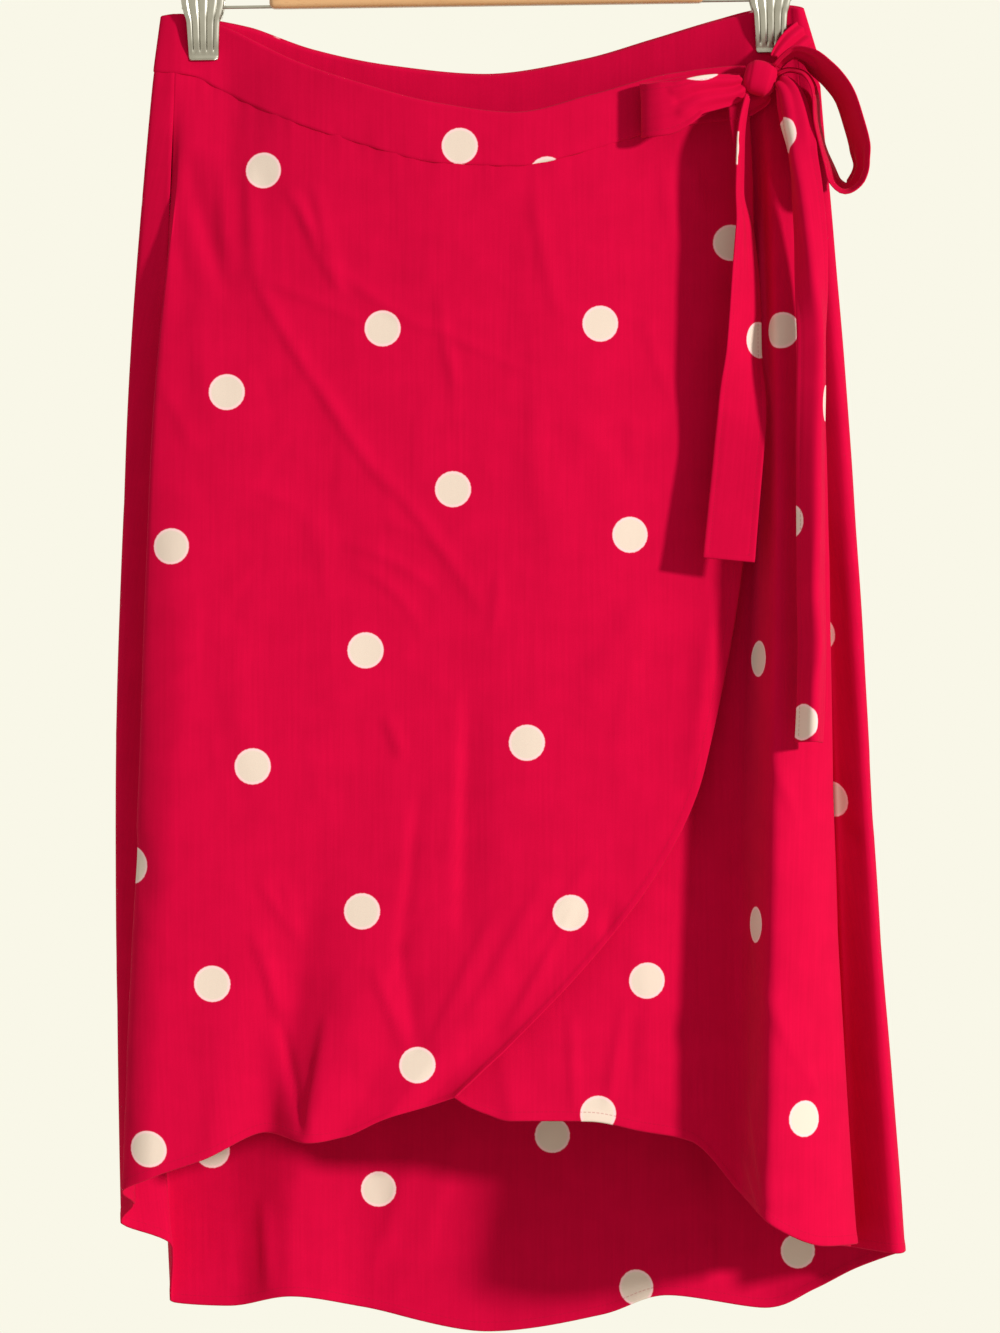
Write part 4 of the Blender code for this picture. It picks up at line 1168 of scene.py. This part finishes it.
# %% [markdown]
# ### Printed viscose
#
# A light plain-weave viscose, dyed red, with the dots discharged out of it and printed cream. It
# scatters light evenly, and its raised fibres catch a little of it at grazing angles, which the
# sheen gives. Some upright threads took more dye than others, which shows as faint streaks. All
# patterns are placed by the flat cloth's millimetres, so they follow its folds. Threads are about
# 0.3 mm apart, too fine to show at this distance, so they are drawn at 0.7 mm.

# %% Cloth shader
RED = "#C90237"
RED_DEEP = "#BB0131"
DOT_CREAM = "#DAC7B5"
DOT_RIM = "#F1C6C4"
SHEEN_PINK = "#FFB9C4"
THREAD_MM = 0.7             # from one thread to the next
BLOTCH_MM = 20.0            # the dye's slow unevenness
FIBRES_PER_MM = 0.9         # the fuzz that roughens a dot's edge
SLUBS_PER_MM, SLUB_STRETCH = 0.55, 0.03    # streaks 1.8 mm apart and about 60 mm long


def make_cloth():
    """Red between its two dyes: a slow noise plus a noise drawn out along the upright threads."""
    cloth, tree, shader = material("printed_viscose", Roughness=0.85, Specular_IOR_Level=0.05,
                                   Sheen_Weight=0.03, Sheen_Roughness=0.5)
    shader.inputs["Sheen Tint"].default_value = linear(SHEEN_PINK)
    thread = add(tree, "ShaderNodeAttribute", attribute_name="thread").outputs["Vector"]
    fibre = add(tree, "ShaderNodeTexNoise", {"Vector": thread, "Scale": FIBRES_PER_MM,
                                             "Detail": 3.0})
    blotch = add(tree, "ShaderNodeTexNoise", {"Vector": thread, "Scale": 1 / BLOTCH_MM,
                                              "Detail": 4.0})
    upright = add(tree, "ShaderNodeMapping", {"Vector": thread,
                                              "Scale": (1.0, SLUB_STRETCH, 1.0)})
    slub = add(tree, "ShaderNodeTexNoise", {"Vector": upright.outputs["Vector"],
                                            "Scale": SLUBS_PER_MM, "Detail": 3.0,
                                            "Roughness": 0.6})
    uneven_dye = add(tree, "ShaderNodeMath", {0: blotch.outputs["Fac"], 1: slub.outputs["Fac"]},
                     operation="ADD")
    spread = add(tree, "ShaderNodeMapRange", {"Value": uneven_dye.outputs[0], "From Min": 0.6,
                                              "From Max": 1.4})
    red = add(tree, "ShaderNodeMix", {"Factor": spread.outputs["Result"],
                                      "A": linear(RED_DEEP), "B": linear(RED)}, data_type="RGBA")
    return cloth, tree, shader, thread, fibre, red


cloth, tree, shader, thread, fibre, red = make_cloth()
print("cloth nodes so far:", len(tree.nodes))

# %% Weave
ONE_WAVE = 0.314            # a wave texture's scale for one wave in each millimetre


def weave_height(tree, thread):
    """Two waves square to each other, one per thread direction, multiplied: a plain weave."""
    warp, weft = (add(tree, "ShaderNodeTexWave", {"Vector": thread,
                                                   "Scale": ONE_WAVE / THREAD_MM,
                                                   "Distortion": 1.2, "Detail": 1.0,
                                                   "Detail Scale": 0.6},
                      bands_direction=way).outputs["Fac"] for way in ("X", "Y"))
    return add(tree, "ShaderNodeMath", {0: warp, 1: weft}, operation="MULTIPLY").outputs[0]


weave = weave_height(tree, thread)
print("threads per centimetre, as drawn:", round(10 / THREAD_MM))

# %% Dots
def dot_colour(tree, red, fibre):
    """Cream out to the dot's edge, a thin pink rim where the discharge bleeds, then the red."""
    far = add(tree, "ShaderNodeAttribute", attribute_name="dot").outputs["Fac"]
    rough_edge = add(tree, "ShaderNodeMath", {0: fibre, 1: 0.5, 2: far},
                     operation="MULTIPLY_ADD").outputs[0]
    steps = add(tree, "ShaderNodeMapRange", {"Value": rough_edge, "From Min": DOT_RADIUS - 2.0,
                                             "From Max": DOT_RADIUS + 1.5})
    print_ink = add(tree, "ShaderNodeValToRGB", {"Fac": steps.outputs["Result"]})
    ramp = print_ink.color_ramp
    ramp.elements[0].position, ramp.elements[0].color = 0.20, linear(DOT_CREAM)
    ramp.elements[1].position, ramp.elements[1].color = 0.52, linear(DOT_RIM)
    outside = add(tree, "ShaderNodeMapRange", {"Value": rough_edge, "From Min": DOT_RADIUS + 0.2,
                                               "From Max": DOT_RADIUS + 0.8})
    return add(tree, "ShaderNodeMix", {"Factor": outside.outputs["Result"],
                                       "A": print_ink.outputs["Color"],
                                       "B": red.outputs["Result"]}, data_type="RGBA")


dots = dot_colour(tree, red, fibre.outputs["Fac"])
print("cloth nodes with the dots:", len(tree.nodes))

# %% Stitches
STITCH_MM = 2.6
STITCH_SHARE = 0.68         # of each stitch's length that lies on top
STITCH_HALF = 0.3           # millimetres, half a thread's width
THREAD_RED = "#A80A2E"
THREAD_SHOWS = 0.4          # the thread is sunk in the cloth, which hides most of it


def stitch_mask(tree):
    """1 on the stitches: near the sewing line, for two thirds of each stitch's length."""
    edge = add(tree, "ShaderNodeAttribute", attribute_name="hem").outputs["Fac"]
    run = add(tree, "ShaderNodeAttribute", attribute_name="run").outputs["Fac"]
    off = add(tree, "ShaderNodeMath", {0: edge, 1: STITCHED_AT, 2: STITCH_HALF},
              operation="COMPARE").outputs[0]
    part = add(tree, "ShaderNodeMath", {0: run, 1: 1 / STITCH_MM}, operation="MULTIPLY")
    part = add(tree, "ShaderNodeMath", {0: part.outputs[0]}, operation="FRACT")
    on = add(tree, "ShaderNodeMath", {0: part.outputs[0], 1: STITCH_SHARE},
             operation="LESS_THAN")
    return add(tree, "ShaderNodeMath", {0: off, 1: on.outputs[0]}, operation="MULTIPLY").outputs[0]


WEAVE_RISE = 0.00011        # metres that the bump stands up


def finish_cloth(tree, shader, weave, dots):
    """Dots, then the sewing thread over them, as colour. Weave and stitches, added, as bump."""
    stitches = stitch_mask(tree)
    shows = add(tree, "ShaderNodeMath", {0: stitches, 1: THREAD_SHOWS}, operation="MULTIPLY")
    sewn = add(tree, "ShaderNodeMix", {"Factor": shows.outputs[0], "A": dots.outputs["Result"],
                                       "B": linear(THREAD_RED)}, data_type="RGBA")
    tree.links.new(sewn.outputs["Result"], shader.inputs["Base Color"])
    height = add(tree, "ShaderNodeMath", {0: stitches, 1: 1.5, 2: weave},
                 operation="MULTIPLY_ADD").outputs[0]
    bump = add(tree, "ShaderNodeBump", {"Strength": 0.25, "Distance": WEAVE_RISE,
                                        "Height": height})
    tree.links.new(bump.outputs["Normal"], shader.inputs["Normal"])


finish_cloth(tree, shader, weave, dots)
cloth_pieces = [made[0] for group in (panels, bands, ties) for made in group.values()] + [knot]
for thing in cloth_pieces:
    thing.data.materials.append(cloth)
    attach(thing, "root")
print("cloth pieces:", len(cloth_pieces))

# %% [markdown]
# ### Nickel and beech
#
# The clips and wire are steel with a dull nickel plating: a warm grey mirror, softened by fine
# scratches from pressing and drawing. The bar is beech, sawn along the grain, sanded and
# lacquered, with the short dark flecks that beech has. A thin clear coat over the wood gives its
# highlights. Both patterns are placed by the object's own coordinates, in metres.

# %% Nickel shader
NICKEL = "#B8B4A9"
NICKEL_DULL = "#9F9B8F"
SCRATCH_MM = 0.4
CLOUDS_PER_METRE = 150.0    # dull patches 7 mm across


def make_nickel():
    """Colour between bright and dull by a slow noise; roughness and bump by drawn-out scratches."""
    nickel, tree, shader = material("nickel_plated_steel", Metallic=1.0, Roughness=0.3)
    place = add(tree, "ShaderNodeTexCoord").outputs["Object"]
    drawn = add(tree, "ShaderNodeMapping", {"Vector": place, "Scale": (1.0, 1.0, 0.06)})
    scratch = add(tree, "ShaderNodeTexNoise", {"Vector": drawn.outputs["Vector"],
                                               "Scale": 1000 / SCRATCH_MM / 2, "Detail": 3.0})
    cloud = add(tree, "ShaderNodeTexNoise", {"Vector": place, "Scale": CLOUDS_PER_METRE,
                                             "Detail": 2.0})
    tone = add(tree, "ShaderNodeMix", {"Factor": cloud.outputs["Fac"], "A": linear(NICKEL_DULL),
                                       "B": linear(NICKEL)}, data_type="RGBA")
    tree.links.new(tone.outputs["Result"], shader.inputs["Base Color"])
    rough = add(tree, "ShaderNodeMapRange", {"Value": scratch.outputs["Fac"], "To Min": 0.22,
                                             "To Max": 0.42})
    tree.links.new(rough.outputs["Result"], shader.inputs["Roughness"])
    bump = add(tree, "ShaderNodeBump", {"Strength": 0.15, "Distance": 0.00005,
                                        "Height": scratch.outputs["Fac"]})
    tree.links.new(bump.outputs["Normal"], shader.inputs["Normal"])
    return nickel


nickel = make_nickel()
print("nickel nodes:", len(nickel.node_tree.nodes))

# %% Beech shader
BEECH_LIGHT = "#DDB07E"
BEECH_DARK = "#BE8852"
FLECK_BROWN = "#9C6535"
GRAIN_MM = 2.6
FLECKS_PER_METRE = 620.0    # 1.6 mm apart


def make_beech():
    """Two tones by a noise drawn out along the bar, with flecks in the middle of long cells."""
    beech, tree, shader = material("lacquered_beech", Roughness=0.42, Coat_Weight=0.25,
                                   Coat_Roughness=0.2)
    place = add(tree, "ShaderNodeTexCoord").outputs["Object"]
    long_way = add(tree, "ShaderNodeMapping", {"Vector": place, "Scale": (0.06, 1.0, 1.0)})
    rings = add(tree, "ShaderNodeTexNoise", {"Vector": long_way.outputs["Vector"],
                                             "Scale": 1000 / GRAIN_MM / 2, "Detail": 4.0,
                                             "Distortion": 0.4})
    fleck_way = add(tree, "ShaderNodeMapping", {"Vector": place, "Scale": (0.25, 1.0, 1.0)})
    flecks = add(tree, "ShaderNodeTexVoronoi", {"Vector": fleck_way.outputs["Vector"],
                                                "Scale": FLECKS_PER_METRE})
    wood = add(tree, "ShaderNodeMix", {"Factor": rings.outputs["Fac"], "A": linear(BEECH_DARK),
                                       "B": linear(BEECH_LIGHT)}, data_type="RGBA")
    near = add(tree, "ShaderNodeMapRange", {"Value": flecks.outputs["Distance"],
                                            "From Min": 0.0, "From Max": 0.28,
                                            "To Min": 0.35, "To Max": 0.0})
    flecked = add(tree, "ShaderNodeMix", {"Factor": near.outputs["Result"],
                                          "A": wood.outputs["Result"],
                                          "B": linear(FLECK_BROWN)}, data_type="RGBA")
    tree.links.new(flecked.outputs["Result"], shader.inputs["Base Color"])
    bump = add(tree, "ShaderNodeBump", {"Strength": 0.2, "Distance": 0.0001,
                                        "Height": rings.outputs["Fac"]})
    tree.links.new(bump.outputs["Normal"], shader.inputs["Normal"])
    return beech


beech = make_beech()
for key, thing in hanger_pieces.items():
    thing.data.materials.append(beech if key == "bar" else nickel)
    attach(thing, "root")
print("beech nodes:", len(beech.node_tree.nodes))

# %% [markdown]
# ## The sheets
#
# Cloth bends but doesn't stretch. Here the panels, bands and ties are only counted.

print("sheets declared:", len(panels) + len(bands) + len(ties))

# %% [markdown]
# ## Floor, light and camera
#
# The skirt hangs in pale surroundings, with light as from one wide window at the right. Area lamps
# could stand for the window, but their light would fall off across the skirt. So there is one sun
# with a wide angle for soft-edged shadows, a little light from all round, and a pale floor far
# below. The camera and the metal's reflections see the surroundings brighter than they light the
# cloth.

# %% Floor
FLOOR_Z, FLOOR_RADIUS, FLOOR_SIDES = -1.35, 2.5, 96
FLOOR_PALE = "#F1EEE0"


def make_floor():
    """A flat disc: one face with its corners on a circle."""
    turn = np.linspace(0, 2 * np.pi, FLOOR_SIDES, endpoint=False)
    ring = np.stack([FLOOR_RADIUS * np.cos(turn), FLOOR_RADIUS * np.sin(turn),
                     0 * turn + FLOOR_Z], axis=1)
    floor = mesh_object("floor", ring, [tuple(range(FLOOR_SIDES))])
    paint, _, shader = material("pale_floor", Roughness=0.9)
    shader.inputs["Base Color"].default_value = linear(FLOOR_PALE)
    floor.data.materials.append(paint)


make_floor()
print("floor at", FLOOR_Z, "m")

# %% World
SURROUNDINGS = "#F9F7E8"
FILL = 0.56                 # strength of the light from all round
FILL_COLOUR = (1.0, 0.99, 0.97, 1.0)

world = bpy.data.worlds.new("pale_room")
bpy.context.scene.world = world
world.use_nodes = True
world.node_tree.nodes.clear()
ray = add(world.node_tree, "ShaderNodeLightPath")
seen = add(world.node_tree, "ShaderNodeMath", {0: ray.outputs["Is Camera Ray"],
                                               1: ray.outputs["Is Glossy Ray"]},
           operation="MAXIMUM").outputs[0]
wall = add(world.node_tree, "ShaderNodeBackground", {"Color": linear(SURROUNDINGS),
                                                     "Strength": 1.0})
fill = add(world.node_tree, "ShaderNodeBackground", {"Color": FILL_COLOUR, "Strength": FILL})
mixed = add(world.node_tree, "ShaderNodeMixShader", {0: seen, 1: fill.outputs[0],
                                                     2: wall.outputs[0]})
add(world.node_tree, "ShaderNodeOutputWorld", {"Surface": mixed.outputs[0]})
print("world nodes:", len(world.node_tree.nodes))

# %% Lamp
KEY_FROM_RIGHT = 52.0       # degrees round from the front
KEY_HIGH = 13.0             # degrees up
KEY_STRENGTH = 3.5
KEY_SOFTNESS = 4.8          # degrees that the window spans, seen from the skirt
lamp = bpy.data.lights.new("window", "SUN")
lamp.energy = KEY_STRENGTH
lamp.angle = math.radians(KEY_SOFTNESS)
lamp_object = bpy.data.objects.new("window", lamp)
bpy.context.scene.collection.objects.link(lamp_object)
lamp_object.rotation_euler = (math.radians(90 - KEY_HIGH), 0, math.radians(KEY_FROM_RIGHT))
print("lamp", lamp.energy, "from", KEY_FROM_RIGHT, "degrees right")

# %% Camera
CAMERA_PLACE = (0.009645, -4.0, -0.5154)    # level with the skirt's middle, four metres away
LENS_MM, SENSOR_MM = 240, 36
camera = bpy.data.cameras.new("camera")
camera.lens = LENS_MM
camera.sensor_fit = "HORIZONTAL"
camera.sensor_width = SENSOR_MM
camera_object = bpy.data.objects.new("camera", camera)
bpy.context.scene.collection.objects.link(camera_object)
camera_object.location = CAMERA_PLACE
camera_object.rotation_euler = (math.pi / 2, 0, 0)
bpy.context.scene.camera = camera_object
bpy.context.scene.view_settings.view_transform = "Standard"
bpy.context.scene.view_settings.look = "None"
print("camera lens", camera.lens, "mm")
